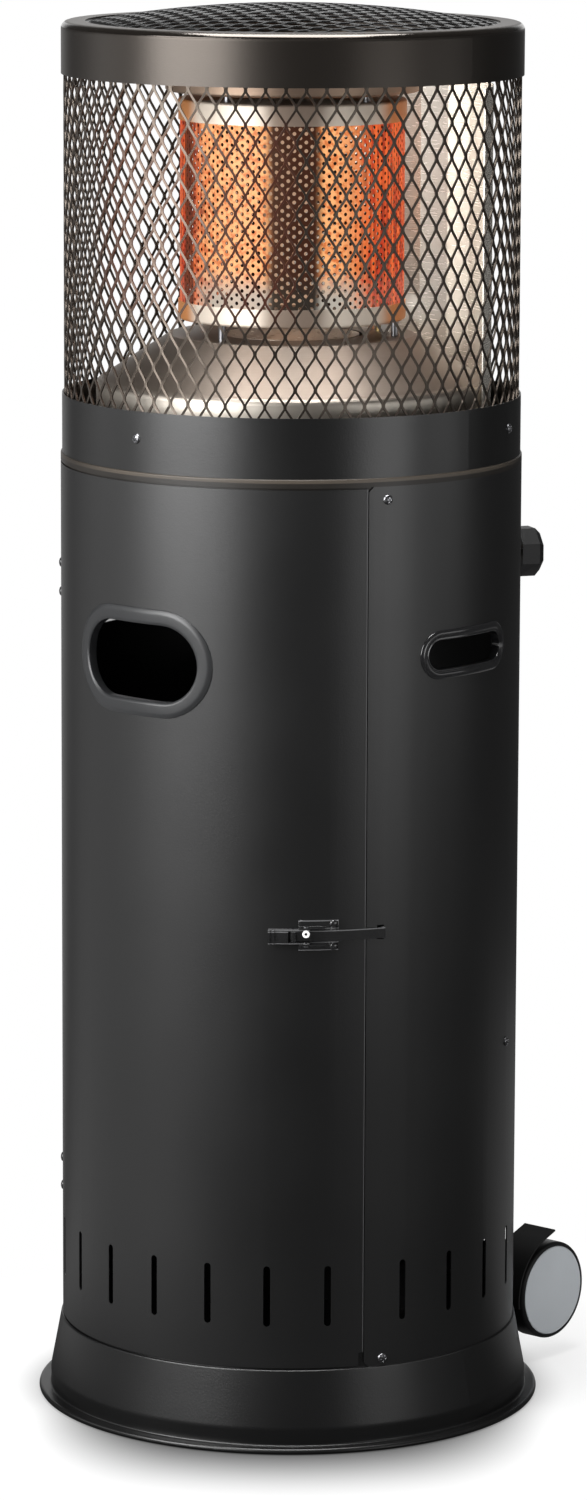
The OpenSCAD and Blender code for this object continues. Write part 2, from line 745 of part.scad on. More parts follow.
module emitter_standoffs() color("#c4c4c2")
    posts(4, standoff_r, emitter_r - 4 * standoff_r, lid_top_z, standoff_h);

module deflector() color("#8f7a63") {
    roll = 2 * reflector_t;
    rotate_extrude() polygon(concat(
        [[0, deflector_z]],
        arc([deflector_r - roll, deflector_z + roll], roll, -90, 0, 6),
        [
            [deflector_r, deflector_z + deflector_h],
            [deflector_r - reflector_t, deflector_z + deflector_h],
            [deflector_r - reflector_t, deflector_z + reflector_t],
            [0, deflector_z + reflector_t]
        ]
    ));
}

// Burner and gas train
boss_wall = 3;
boss_r = spindle_r + boss_wall;
valve_depth = 44;
valve_axis_depth = 28;
valve_in_r = body_r - valve_depth;
valve_mid_r = body_r - valve_axis_depth;
valve_face_r = body_in_r - 3 * nest_gap;
jet_h = 16;
jet_r = 10;
jet_hole_r = 1;
tube_drop = 40;
tube_wall = 2;
tube_bottom_z = pan_top_z - tube_drop;
tube_flange = 8;
pipe_z = tube_bottom_z - jet_h / 2;
outlet_wall = 3;
valve_outlet_z = knob_z + valve_r + 2 * outlet_wall;
pilot_r = 3.5;
pilot_reach = 76;
pilot_step = 12;
pilot_foot_h = 6;
pilot_h = dome_h + feet_h + 18;

// The pilot, its thermocouple and its electrode stand in a row beside the burner head
module pilot_place(i)
    rotate([0, 0, knob_angle + i * pilot_step]) translate([0, -pilot_reach, pan_top_z]) children();

module burner_head() color("#9c948a") difference() {
    socket_h = 6;
    wall = 2;
    socket_wall = 4;
    port_r = 2;
    port_rings = 4;
    port_reach = burner_r - socket_wall * 2;
    union() {
        translate([0, 0, burner_z]) cylinder(r = burner_r, h = burner_h);
        translate([0, 0, burner_z - socket_h]) cylinder(r = tube_r + socket_wall, h = socket_h + eps);
    }
    translate([0, 0, burner_z - socket_h - eps]) cylinder(r = tube_r + seat_gap, h = socket_h + eps);
    translate([0, 0, burner_z + wall]) cylinder(r = burner_r - wall, h = burner_h - 2 * wall);
    translate([0, 0, burner_z - wall / 2]) cylinder(r = tube_r - tube_wall, h = socket_h);
    for (n = [1:port_rings], i = [0:6 * n - 1])
        rotate([0, 0, i * 60 / n]) translate([n * port_reach / port_rings, 0, burner_z + burner_h - 2 * wall])
            cylinder(r = port_r, h = 3 * wall, $fn = 6);
}

module mixing_tube() color("#8d8d8b") difference() {
    intake_h = 14;
    intake_w = 10;
    intake_rise = 6;
    union() {
        translate([0, 0, tube_bottom_z]) cylinder(r = tube_r, h = burner_z - tube_bottom_z);
        translate([0, 0, pan_top_z]) cylinder(r = tube_r + tube_flange, h = tube_wall);
    }
    translate([0, 0, tube_bottom_z + tube_wall]) cylinder(r = tube_r - tube_wall, h = dome_h + far);
    translate([0, 0, tube_bottom_z - eps]) cylinder(r = 2 * jet_hole_r, h = 2 * tube_wall);
    for (i = [0:1]) rotate([0, 0, 90 * i + knob_angle + 45])
        translate([-far / 2, -intake_w / 2, tube_bottom_z + intake_rise]) cube([far, intake_w, intake_h]);
}

module gas_jet() color("#b08d4a") difference() {
    rotate([0, 0, knob_angle]) translate([0, 0, tube_bottom_z - jet_h])
        cylinder(r = jet_r, h = jet_h, $fn = 6);
    translate([0, 0, tube_bottom_z - jet_h / 2]) cylinder(r = jet_hole_r, h = jet_h);
}

module gas_pipe() color("#b87a4b") {
    bend_r = 12;
    jet_face = jet_r * cos(30);
    rotate([0, 0, knob_angle]) {
        translate([0, -valve_mid_r, valve_outlet_z])
            cylinder(r = pipe_r, h = pipe_z - bend_r - valve_outlet_z);
        translate([0, -valve_mid_r + bend_r, pipe_z - bend_r]) rotate([90, 0, -90])
            rotate_extrude(angle = 90) translate([bend_r, 0]) circle(r = pipe_r);
        translate([0, -valve_mid_r + bend_r, pipe_z]) rotate([-90, 0, 0])
            cylinder(r = pipe_r, h = valve_mid_r - bend_r - jet_face);
    }
}

module gas_valve() color("#a88a52") {
    plate = 36;
    plate_t = 2;
    difference() {
        union() {
            on_casing(knob_angle, valve_in_r, knob_z)
                cylinder(r = valve_r, h = valve_face_r - valve_in_r);
            on_casing(knob_angle, valve_face_r - plate_t, knob_z)
                translate([-plate / 2, -plate / 2, 0]) cube([plate, plate, plate_t]);
            on_casing(knob_angle, valve_in_r, knob_z) cylinder(r = boss_r, h = valve_depth);
            rotate([0, 0, knob_angle]) translate([0, -valve_mid_r, knob_z]) {
                cylinder(r = pipe_r + outlet_wall, h = valve_outlet_z - knob_z);
                translate([0, 0, -valve_r - inlet_l]) cylinder(r = inlet_r, h = valve_r + inlet_l);
            }
        }
        on_casing(knob_angle, body_r - spindle_in - knob_travel - spindle_room, knob_z)
            cylinder(r = spindle_r + run_gap, h = far);
        rotate([0, 0, knob_angle]) translate([0, -valve_mid_r, knob_z - valve_r - inlet_l - eps])
            cylinder(r = inlet_r / 2, h = inlet_l);
    }
}

// A stem with a wider foot, standing on the pan and reaching into the emitter
module pilot_stem(i, r, h) pilot_place(i) {
    cylinder(r = r, h = h);
    cylinder(r = r + pilot_r, h = pilot_foot_h);
}

module pilot_burner() color("#b08d4a") {
    cup_h = 8;
    pilot_stem(0, pilot_r, pilot_h);
    pilot_place(0) translate([0, 0, pilot_h - cup_h / 2])
        cylinder(r1 = pilot_r, r2 = 2 * pilot_r, h = cup_h);
}

module thermocouple() color("#b87a4b") {
    r = pilot_r * 0.7;
    tip_h = pilot_h + 2 * pilot_r;
    pilot_stem(1, r, tip_h);
    pilot_place(1) translate([0, 0, tip_h]) sphere(r = r);
}

module ignition_electrode() color("#e6e2d8") {
    wire_r = 1;
    pilot_stem(-1, pilot_r * 0.85, pilot_h - 2 * pilot_r);
    pilot_place(-1) cylinder(r = wire_r, h = pilot_h + 2 * pilot_r);
}

// The igniter's block stands beside the valve on a short saddle
module piezo_igniter() color("#202022") {
    block = [22, 16, 30];
    saddle = [6, 14, 8];
    side = valve_r + saddle[0] / 2;
    reach = sqrt(pow(inner_ring_r, 2) - pow(side + block[0], 2)) - plate_room;
    rotate([0, 0, knob_angle]) translate([0, -reach, knob_z]) {
        translate([side, 0, -block[2] / 2]) cube(block);
        difference() {
            translate([side - saddle[0], 0, -saddle[2] / 2]) cube([saddle[0] + eps, saddle[1], saddle[2]]);
            translate([0, -eps, 0]) rotate([-90, 0, 0]) cylinder(r = valve_r + seat_gap, h = far);
        }
    }
}

module tilt_switch() color("#d8d4c6") {
    size = [46, 30, 18];
    reach = 120;
    turn = 70;
    rotate([0, 0, knob_angle + turn])
        translate([-size[0] / 2, -reach, pan_top_z - pan_sheet - size[2]]) cube(size);
}

// Knob, pushed in and then turned
spindle_in = 20;
spindle_room = 1;
plate_room = 2;
knob_bore = 10;
knob_back_r = body_r + knob_gap;

module valve_spindle() color("#b9b9b7")
    on_casing(knob_angle, body_r - spindle_in, knob_z)
        cylinder(r = spindle_r, h = spindle_in + knob_gap + knob_bore);

module control_knob() color("#1b1b1c") on_casing(knob_angle, knob_back_r, knob_z) difference() {
    chamfer = 5;
    sides = 8;
    rotate([0, 0, 180 / sides]) {
        cylinder(r = knob_r, h = knob_h - chamfer, $fn = sides);
        translate([0, 0, knob_h - chamfer])
            cylinder(r1 = knob_r, r2 = knob_r - chamfer, h = chamfer, $fn = sides);
    }
    translate([0, 0, -eps]) cylinder(r = spindle_r + run_gap, h = knob_bore + seat_gap);
}

// Hinges: three knuckles each, the middle one on the door
function hinge_rivet_places(side) =
    [for (v = [-1, 1]) [-door_half_angle + side * hinge_rivet_angle, v * hinge_h * 0.3]];

module knuckle(z, h)
    rotate([0, 0, -door_half_angle]) translate([0, -body_r, z]) cylinder(r = knuckle_r, h = h);

// Sheet of one leaf between two angles from the hinge's axis
module leaf(side, z, h, a0, a1, r_out, r_in)
    sector(
        r_out, r_in, -door_half_angle + min(side * a0, side * a1),
        -door_half_angle + max(side * a0, side * a1), z, h
    );

// One leaf with its knuckles and the gaps for the other leaf's, given as heights within the hinge
module hinge_leaf(side, z, knuckles, gaps) {
    clear = angle_of(knuckle_r + nest_gap);
    start = angle_of(hinge_pin_r + leaf_t / 2);
    difference() {
        union() {
            difference() {
                leaf(side, z - hinge_h / 2, hinge_h, start, 1.5 * hinge_rivet_angle, leaf_r, leaf_r - leaf_t);
                for (g = gaps)
                    leaf(side, z + g[0], g[1], start / 2, clear, leaf_r + leaf_t, leaf_r - 2 * leaf_t);
            }
            for (k = knuckles) knuckle(z + k[0], k[1]);
        }
        rotate([0, 0, -door_half_angle]) translate([0, -body_r, z - hinge_h])
            cylinder(r = hinge_pin_r + run_gap, h = 2 * hinge_h);
        for (place = hinge_rivet_places(side)) screw_hole(place[0], body_r, z + place[1]);
    }
}

knuckle_h = (hinge_h - 2 * knuckle_gap) / 3;

outer_knuckles = [[-hinge_h / 2, knuckle_h], [hinge_h / 2 - knuckle_h, knuckle_h]];
middle_knuckle = [[-knuckle_h / 2, knuckle_h]];
middle_gap_h = hinge_h - 2 * knuckle_h;
outer_gap_h = knuckle_h + knuckle_gap;

module hinge_leaves_fixed() color("#3a3a3b") for (z = hinge_zs)
    hinge_leaf(-1, z, outer_knuckles, [[-middle_gap_h / 2, middle_gap_h]]);

module hinge_leaves_door() color("#3a3a3b") for (z = hinge_zs)
    hinge_leaf(1, z, middle_knuckle, [
        [-hinge_h / 2 - knuckle_gap, outer_gap_h + knuckle_gap],
        [hinge_h / 2 - outer_gap_h, outer_gap_h + knuckle_gap]
    ]);

module hinge_pins() color("#8a8a8a") for (z = hinge_zs)
    rotate([0, 0, -door_half_angle]) translate([0, -body_r, z]) {
        translate([0, 0, -hinge_h / 2]) cylinder(r = hinge_pin_r, h = hinge_h);
        translate([0, 0, hinge_h / 2]) cylinder(r = hinge_pin_r + pin_head, h = pin_head);
    }

module hinge_rivets(side) color("#6a6a6b") for (z = hinge_zs, place = hinge_rivet_places(side))
    on_casing(place[0], body_r + seat_gap, z + place[1]) screw(sheet + leaf_t + 2 * seat_gap);

module hinge_rivets_fixed() hinge_rivets(-1);
module hinge_rivets_door() hinge_rivets(1);

// Draw latch. The lever turns on the pivots in the base's ears; the strap hangs on its pin.
ear_back_angle = 1.8;
ear_front_angle = 4.5;
ear_edge = 3;
rivet_step_angle = 6.7;
latch_base_angle = latch_angle - ear_back_angle;
latch_rivet_angle = latch_angle + rivet_step_angle;
latch_base_end = latch_rivet_angle + angle_of(rivet_head_r) + angle_of(latch_sheet);
latch_rivet_drop = lever_half + rivet_head_r + nest_gap;
latch_plate_half = latch_rivet_drop + rivet_head_r;
latch_rivet_places = [for (v = [-1, 1]) [latch_rivet_angle, latch_z + v * latch_rivet_drop]];
pivot_r = body_r + latch_pivot_h;
lever_out_r = pivot_r + 1.5 * latch_sheet;
lever_in_r = body_r + 2;
lever_eye_r = latch_pivot_h - latch_sheet - seat_gap - nest_gap;
ridge_angle = 0.5;
ridge_h = 1;
strap_lift = 3;
strap_r = body_r + strap_lift;
strap_eye_r = strap_lift - nest_gap;
strap_half = lever_half - latch_sheet - nest_gap;
ear_in = lever_half + nest_gap;
ear_out = ear_in + latch_sheet;

// Places children at an angle on the latch's middle, upright
module latch_axis(angle, r) rotate([0, 0, angle]) translate([0, -r, latch_z]) children();

// Cutter for a pin's hole through the latch
module latch_hole(angle, r)
    latch_axis(angle, r) translate([0, 0, -far / 2]) cylinder(r = latch_pin_r + run_gap, h = far);

module latch_base() color("#3b3b3d") difference() {
    plate_r = body_r + seat_gap;
    union() {
        sector(
            plate_r + latch_sheet, plate_r, latch_base_angle, latch_base_end,
            latch_z - latch_plate_half, 2 * latch_plate_half
        );
        for (side = [-1, 1])
            sector(
                pivot_r + ear_edge, plate_r, latch_base_angle, latch_angle + ear_front_angle,
                latch_z + (side > 0 ? ear_in : -ear_out), latch_sheet
            );
    }
    for (place = latch_rivet_places) screw_hole(place[0], body_r, place[1]);
    latch_hole(latch_angle, pivot_r);
}

module latch_pivots() color("#d5d5d5") for (side = [-1, 1])
    latch_axis(latch_angle, pivot_r) mirror([0, 0, side > 0 ? 0 : 1]) {
        from = strap_half + nest_gap;
        translate([0, 0, from]) cylinder(r = latch_pin_r, h = ear_out - from);
        translate([0, 0, ear_out]) cylinder(r = latch_pin_r + pin_head, h = pin_head);
    }

module latch_rivets() color("#8f8f90") for (place = latch_rivet_places)
    on_casing(place[0], body_r + latch_sheet + 2 * seat_gap, place[1])
        screw(latch_sheet + sheet + 2 * seat_gap, rivet_head_r);

module latch_lever() color("#2c2c2e") {
    tip = latch_angle - lever_angle;
    web_end = latch_angle - strap_pin_angle - angle_of(strap_eye_r + latch_sheet + nest_gap);
    web_r = lever_out_r - latch_sheet;
    difference() {
        union() {
            for (side = [-1, 1]) {
                z = side > 0 ? lever_half - latch_sheet : -lever_half;
                sector(lever_out_r, lever_in_r, tip, latch_angle, latch_z + z, latch_sheet);
                latch_axis(latch_angle, pivot_r) translate([0, 0, z])
                    cylinder(r = lever_eye_r, h = latch_sheet);
            }
            sector(lever_out_r, web_r, tip, web_end, latch_z - lever_half, 2 * lever_half);
            for (i = [0, 1])
                sector(
                    lever_out_r + ridge_h, web_r, tip + 2 * i * ridge_angle, tip + (2 * i + 1) * ridge_angle,
                    latch_z - lever_half, 2 * lever_half
                );
        }
        latch_hole(latch_angle, pivot_r);
        latch_hole(latch_angle - strap_pin_angle, strap_r);
    }
}

// The strap is cut from one curved block, so that its hook and its sheet share their faces
module latch_strap() color("#333335") difference() {
    pin_angle = latch_angle - strap_pin_angle;
    hook_angle = door_half_angle + angle_of(catch_offset + catch_w / 2 - nest_gap);
    strap_out_r = strap_r + latch_sheet / 2;
    hook_in_r = body_r - hook_depth;
    start = pin_angle + angle_of(latch_pin_r + latch_sheet / 2);
    union() {
        latch_axis(pin_angle, strap_r) translate([0, 0, -strap_half])
            cylinder(r = strap_eye_r, h = 2 * strap_half);
        difference() {
            sector(strap_out_r, hook_in_r, start, hook_angle, latch_z - strap_half, 2 * strap_half);
            sector(
                strap_out_r - latch_sheet, hook_in_r - latch_sheet, start - 1,
                hook_angle - angle_of(latch_sheet), latch_z - lever_half, 2 * lever_half
            );
        }
    }
    latch_hole(pin_angle, strap_r);
}

module latch_strap_pin() color("#d5d5d5")
    latch_axis(latch_angle - strap_pin_angle, strap_r) translate([0, 0, -lever_half])
        cylinder(r = latch_pin_r, h = 2 * lever_half);

// Screws
module body_screws() color("#8b8b8c") for (place = body_screw_places)
    on_casing(place[0], body_r + seat_gap, place[1]) screw(sheet + pan_sheet + nest_gap + seat_gap);

module band_screws() color("#8b8b8c") for (angle = band_screw_angles)
    on_casing(angle, band_r + seat_gap, band_screw_z) screw(sheet + mesh_t + nest_gap + seat_gap);

// Wheels. All their pieces are drawn for +X and mirrored.
wheel_in_x = wheel_x - wheel_w / 2;
wheel_out_x = wheel_x + wheel_w / 2;
hood_r = wheel_r + hood_gap;
cheek_x = wheel_x - hood_w / 2;
cheek_angle = 180 - asin(cheek_x / body_r);
pad_rise = 5;
pad_z = body_bottom_z + pad_rise;
pad_h = 30;
pad_angle = 8;
bracket_screw_places = [
    for (side = [-1, 1], v = [1, 3]) [side * (cheek_angle + pad_angle * 5 / 8), pad_z + v * pad_h / 4]
];
hub_recess_r = 10;
hub_recess = 6;
disc_t = 2.5;
clip_t = 2;
wheel_boss_r = 9;
axle_head = 3;

// Space of the casing and base that a bracket is fitted to
module casing_space() {
    step_r = body_r + base_step + nest_gap;
    step_z = body_bottom_z + pad_rise / 2;
    rotate_extrude() polygon([
        [0, 0], [skirt_foot_r + seat_gap, 0], [skirt_foot_r + seat_gap, skirt_bend_z],
        [step_r, body_bottom_z], [step_r, step_z],
        [body_r + seat_gap, step_z], [body_r + seat_gap, body_top_z], [0, body_top_z]
    ]);
}

// Turns a shape drawn in (y, z) round the axle and extruded so that it stands across the axle
module across(x, h)
    translate([x, wheel_y, wheel_z]) rotate([90, 0, 90]) linear_extrude(h) children();

// A cheek beside the wheel with a pad bent onto the casing, and a hood with a raised lip
module wheel_bracket() {
    hood_out_r = hood_r + bracket_sheet;
    lip_l = 14;
    lip_turn = 20;
    cheek_r = 14;
    cheek_in = body_r - wheel_y - far / 2;
    pad_r = body_r + seat_gap + bracket_sheet;
    difference() {
        union() {
            across(cheek_x, bracket_sheet) union() {
                circle(r = cheek_r);
                polygon([
                    [cheek_in, pad_z - wheel_z], [0, -cheek_r], [cheek_r * 0.7, cheek_r * 0.7],
                    hood_r * [-sin(lip_turn), cos(lip_turn)], [cheek_in, pad_z + pad_h - wheel_z]
                ]);
            }
            across(cheek_x, hood_w) union() {
                rotate(lip_turn) {
                    difference() {
                        circle(r = hood_out_r);
                        circle(r = hood_r);
                        translate([0, -2 * hood_r]) square([2 * hood_r, 4 * hood_r]);
                        rotate(-lip_turn) translate([-2 * hood_r, -4.1 * hood_r])
                            square([4 * hood_r, 4 * hood_r]);
                    }
                    translate([0, hood_r]) square([lip_l, bracket_sheet]);
                }
            }
            translate([cheek_x + bracket_sheet / 2, wheel_y, wheel_z]) rotate([0, 90, 0])
                cylinder(r = wheel_boss_r, h = wheel_in_x - cheek_x - bracket_sheet / 2 - nest_gap);
            sector(
                pad_r, body_r - bracket_sheet, cheek_angle - angle_of(bracket_sheet / 2),
                cheek_angle + pad_angle, pad_z, pad_h
            );
        }
        casing_space();
        translate([0, wheel_y, wheel_z]) rotate([0, 90, 0]) cylinder(r = axle_r + run_gap, h = wheel_x);
        for (place = bracket_screw_places) screw_hole(place[0], body_r, place[1]);
    }
}

module axle() translate([0, wheel_y, wheel_z]) rotate([0, 90, 0]) {
    clip_x = wheel_out_x - hub_recess - disc_t + nest_gap;
    translate([0, 0, cheek_x - axle_head]) cylinder(r = axle_r + axle_head, h = axle_head);
    translate([0, 0, cheek_x - axle_head / 2]) cylinder(r = axle_r, h = clip_x - cheek_x + axle_head);
    translate([0, 0, clip_x]) cylinder(r = axle_r + axle_head, h = clip_t);
}

module wheel() translate([wheel_in_x, wheel_y, wheel_z]) rotate([90, 0, 90]) {
    edge = 3;
    disc_seat_r = hub_disc_r + seat_gap;
    rotate_extrude() polygon(concat(
        [[axle_r + run_gap, 0]],
        arc([wheel_r - edge, edge], edge, -90, 0, 5),
        arc([wheel_r - edge, wheel_w - edge], edge, 0, 90, 5),
        [
            [disc_seat_r, wheel_w],
            [disc_seat_r, wheel_w - disc_t],
            [hub_recess_r, wheel_w - disc_t],
            [hub_recess_r, wheel_w - disc_t - hub_recess],
            [axle_r + run_gap, wheel_w - disc_t - hub_recess]
        ]
    ));
}

module hub_disc() translate([wheel_out_x - disc_t, wheel_y, wheel_z]) rotate([90, 0, 90]) {
    bevel = 0.8;
    rotate_extrude() polygon([
        [0, 0], [hub_disc_r, 0], [hub_disc_r, disc_t - bevel], [hub_disc_r - bevel, disc_t], [0, disc_t]
    ]);
}

module bracket_screws() color("#8b8b8c") for (place = bracket_screw_places)
    on_casing(place[0], body_r + bracket_sheet + 2 * seat_gap, place[1])
        screw(bracket_sheet + sheet + 2 * seat_gap);

module wheel_bracket_right() color("#1d1d1e") wheel_bracket();
module wheel_bracket_left() color("#1d1d1e") mirror([1, 0, 0]) wheel_bracket();
module axle_right() color("#9a9a9a") axle();
module axle_left() color("#9a9a9a") mirror([1, 0, 0]) axle();
module wheel_right() color("#19191a") wheel();
module wheel_left() color("#19191a") mirror([1, 0, 0]) wheel();
module hub_disc_right() color("#979b9e") hub_disc();
module hub_disc_left() color("#979b9e") mirror([1, 0, 0]) hub_disc();

base_skirt();
base_pan();
rear_shell();
door_panel();
front_handle_trim();
side_handle_right();
side_handle_left();
burner_pan();
guard_band();
guard_mesh();
top_cap();
top_grille();
dome_reflector();
rear_reflector();
emitter_feet();
emitter_base();
emitter_screen();
emitter_lid();
emitter_standoffs();
deflector();
burner_head();
mixing_tube();
gas_jet();
gas_pipe();
gas_valve();
pilot_burner();
thermocouple();
ignition_electrode();
piezo_igniter();
tilt_switch();
valve_spindle();
control_knob();
hinge_leaves_fixed();
hinge_leaves_door();
hinge_pins();
hinge_rivets_fixed();
hinge_rivets_door();
latch_base();
latch_pivots();
latch_rivets();
latch_lever();
latch_strap();
latch_strap_pin();
body_screws();
band_screws();
bracket_screws();
wheel_bracket_right();
wheel_bracket_left();
axle_right();
axle_left();
wheel_right();
wheel_left();
hub_disc_right();
hub_disc_left();
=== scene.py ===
import json
import math

import bmesh
import bpy
import numpy as np
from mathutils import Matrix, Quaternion, Vector


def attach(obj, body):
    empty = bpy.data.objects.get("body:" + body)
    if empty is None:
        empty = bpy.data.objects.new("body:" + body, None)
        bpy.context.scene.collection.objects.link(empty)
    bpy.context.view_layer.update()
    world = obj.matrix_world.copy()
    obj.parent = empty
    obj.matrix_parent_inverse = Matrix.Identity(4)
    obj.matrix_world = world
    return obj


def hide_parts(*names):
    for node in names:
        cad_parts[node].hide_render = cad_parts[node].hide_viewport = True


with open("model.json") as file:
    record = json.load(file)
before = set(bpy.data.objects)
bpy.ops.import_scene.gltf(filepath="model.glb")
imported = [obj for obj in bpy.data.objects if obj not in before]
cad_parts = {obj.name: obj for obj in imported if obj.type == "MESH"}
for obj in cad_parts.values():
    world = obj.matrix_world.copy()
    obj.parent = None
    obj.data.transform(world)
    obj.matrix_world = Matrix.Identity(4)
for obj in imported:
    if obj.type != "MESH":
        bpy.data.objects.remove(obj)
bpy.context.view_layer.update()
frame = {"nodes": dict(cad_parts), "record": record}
scene = bpy.context.scene

# Sizes in millimetres, the same as the solids have
casing_r = 188.0
casing_low, casing_top = 65.5, 781.5
band_r = 186.8
band_screw_z = 814.75
guard_r = 185.2
guard_t = 1.7
guard_mid_r = guard_r - guard_t / 2
guard_low, guard_high = 823.5, 1118.5
guard_rim_h = 9.0
cap_top = 1136.5
cap_sheet = 1.2
lip_r = 167.4
grille_rise = 14.0
emitter_r = 91.0
emitter_low, emitter_high = 898.0, 1074.0

# Angles in degrees round from the door's middle towards its right
door_edge = 60.0
dull_stripe = 42.0

# Points nearer than this are one point, in metres
merge_gap = 2e-6


# Shader maths ---------------------------------------------------------------

class Wire:
    """A value on a socket. Sums and products of wires add Math nodes."""

    def __init__(self, finish, socket):
        self.finish, self.socket = finish, socket

    def math(self, operation, *values):
        return self.finish.node("ShaderNodeMath", {"operation": operation}, dict(enumerate(values)))

    def __add__(self, other):
        return self.math("ADD", self, other)

    def __radd__(self, other):
        return self.math("ADD", other, self)

    def __sub__(self, other):
        return self.math("SUBTRACT", self, other)

    def __rsub__(self, other):
        return self.math("SUBTRACT", other, self)

    def __mul__(self, other):
        return self.math("MULTIPLY", self, other)

    def __rmul__(self, other):
        return self.math("MULTIPLY", other, self)

    def __pow__(self, other):
        return self.math("POWER", self, other)

    def above(self, low, high):
        """0 below low, 1 above high, and a smooth step between them."""
        return self.finish.node(
            "ShaderNodeMapRange", {"interpolation_type": "SMOOTHSTEP"},
            {"Value": self, "From Min": low, "From Max": high},
        )

    def within(self, low, high, soft):
        """1 between low and high, falling to 0 over soft on either side."""
        return self.above(low - soft, low) * (1 - self.above(high, high + soft))


class Shading:
    """A node tree, and the one way that nodes are added to it."""

    def __init__(self, owner):
        owner.use_nodes = True
        self.tree = owner.node_tree

    def put(self, node, values):
        for key, value in values.items():
            if isinstance(value, Wire):
                self.tree.links.new(value.socket, node.inputs[key])
            elif isinstance(value, tuple) and node.inputs[key].type == "RGBA":
                node.inputs[key].default_value = (*value, 1)
            else:
                node.inputs[key].default_value = value

    def node(self, kind, settings, values, out=0):
        node = self.tree.nodes.new(kind)
        for key, value in settings.items():
            setattr(node, key, value)
        self.put(node, values)
        return Wire(self, node.outputs[out])

    def seen(self):
        """1 for what the camera sees, straight or through glass, and 1 for what gloss reflects."""
        camera, gloss, glass = (
            self.node("ShaderNodeLightPath", {}, {}, "Is %s Ray" % ray)
            for ray in ("Camera", "Glossy", "Transmission"))
        return camera + glass, gloss


class Finish(Shading):
    """One material: a principled shader whose constants sit on its sockets, and nodes for the rest."""

    def __init__(self, name, constants):
        self.material = bpy.data.materials.new(name)
        super().__init__(self.material)
        self.shader = self.tree.nodes["Principled BSDF"]
        self.put(self.shader, constants)

    def feed(self, **values):
        self.put(self.shader, {key.replace("_", " "): value for key, value in values.items()})

    def place(self):
        """The point's own coordinates in the heater's frame, in metres."""
        return self.node("ShaderNodeTexCoord", {}, {}, "Object")

    def xyz(self):
        first = self.node("ShaderNodeSeparateXYZ", {}, {0: self.place()})
        return [Wire(self, socket) for socket in first.socket.node.outputs]

    def height(self):
        """Height over the floor in millimetres."""
        return self.xyz()[2] * 1000

    def angle(self):
        """Degrees round the heater from the middle of the door towards its right."""
        x, y, z = self.xyz()
        return x.math("ARCTAN2", x, 0 - y) * (180 / math.pi)

    def radius(self):
        """Distance from the heater's axis in millimetres."""
        x, y, z = self.xyz()
        return (x * x + y * y) ** 0.5 * 1000

    def noise(self, scale, stretch=(1, 1, 1), detail=2.0):
        """Cloudy values from 0 to 1, so many to the metre, stretched by an axis scale."""
        vector = self.node("ShaderNodeMapping", {}, {"Vector": self.place(), "Scale": stretch})
        return self.node("ShaderNodeTexNoise", {}, {"Vector": vector, "Scale": scale, "Detail": detail})

    def brushed(self, scale):
        """Fine lines that run round the heater's axis: noise of radius and height alone."""
        z = self.xyz()[2]
        vector = self.node("ShaderNodeCombineXYZ", {}, {
            0: self.radius() * 0.001, 1: self.angle() * 0.00002, 2: z})
        return self.node("ShaderNodeTexNoise", {}, {"Vector": vector, "Scale": scale, "Detail": 3.0})

    def mix(self, factor, a, b):
        """The colour a where factor is 0 and b where it is 1."""
        return self.node(
            "ShaderNodeMix", {"data_type": "RGBA"}, {"Factor": factor, 6: a, 7: b}, 2)

    def bump(self, height, distance):
        """Turns a height from 0 to 1 into a relief of that many metres."""
        self.feed(Normal=self.node("ShaderNodeBump", {}, {"Height": height, "Distance": distance}))


def coated(name, dark, light, rough, specular, grain=700, relief=0.00006, tint=(1, 1, 1), peeled=0.6):
    """Stoved or moulded black and grey: a fine orange-peel relief with faint clouding in tone and
    gloss. The share of the tone that is peeled follows the relief, and the rest the clouds."""
    f = Finish(name, {"Specular IOR Level": specular, "Specular Tint": tint})
    peel, cloud = f.noise(grain, detail=3.0), f.noise(9)
    f.tone = f.mix(peeled * peel + (1 - peeled) * cloud, dark, light)
    f.rough = rough - 0.04 + 0.08 * cloud
    f.feed(Base_Color=f.tone, Roughness=f.rough)
    f.bump(peel, relief)
    return f


def metal(name, dark, light, rough, grain=1500, metallic=1.0):
    """Bare metal: fine lines round the axis change its tone, gloss and relief a little."""
    f = Finish(name, {"Metallic": metallic})
    lines, cloud = f.brushed(grain), f.noise(24)
    f.tone = f.mix(0.5 * lines + 0.5 * cloud, dark, light)
    f.feed(Base_Color=f.tone, Roughness=rough - 0.05 + 0.1 * lines)
    f.bump(lines, 0.00002)
    return f


# Surfaces -------------------------------------------------------------------

def polar(r, angle, z):
    """Points at radius r and height z, angle degrees round from the door towards its right."""
    r, angle, z = np.broadcast_arrays(r, np.radians(angle), z)
    return np.stack([r * np.sin(angle), -r * np.cos(angle), z], -1)


def quads(rows, columns, rows_close, columns_close):
    """Corner numbers of the faces between neighbours on a grid, which may close on itself."""
    i = np.arange(rows if rows_close else rows - 1)[:, None]
    j = np.arange(columns if columns_close else columns - 1)
    below, beside = (i + 1) % rows, (j + 1) % columns
    corners = np.broadcast_arrays(
        i * columns + j, below * columns + j, below * columns + beside, i * columns + beside)
    return np.stack(corners, -1).reshape(-1, 4)


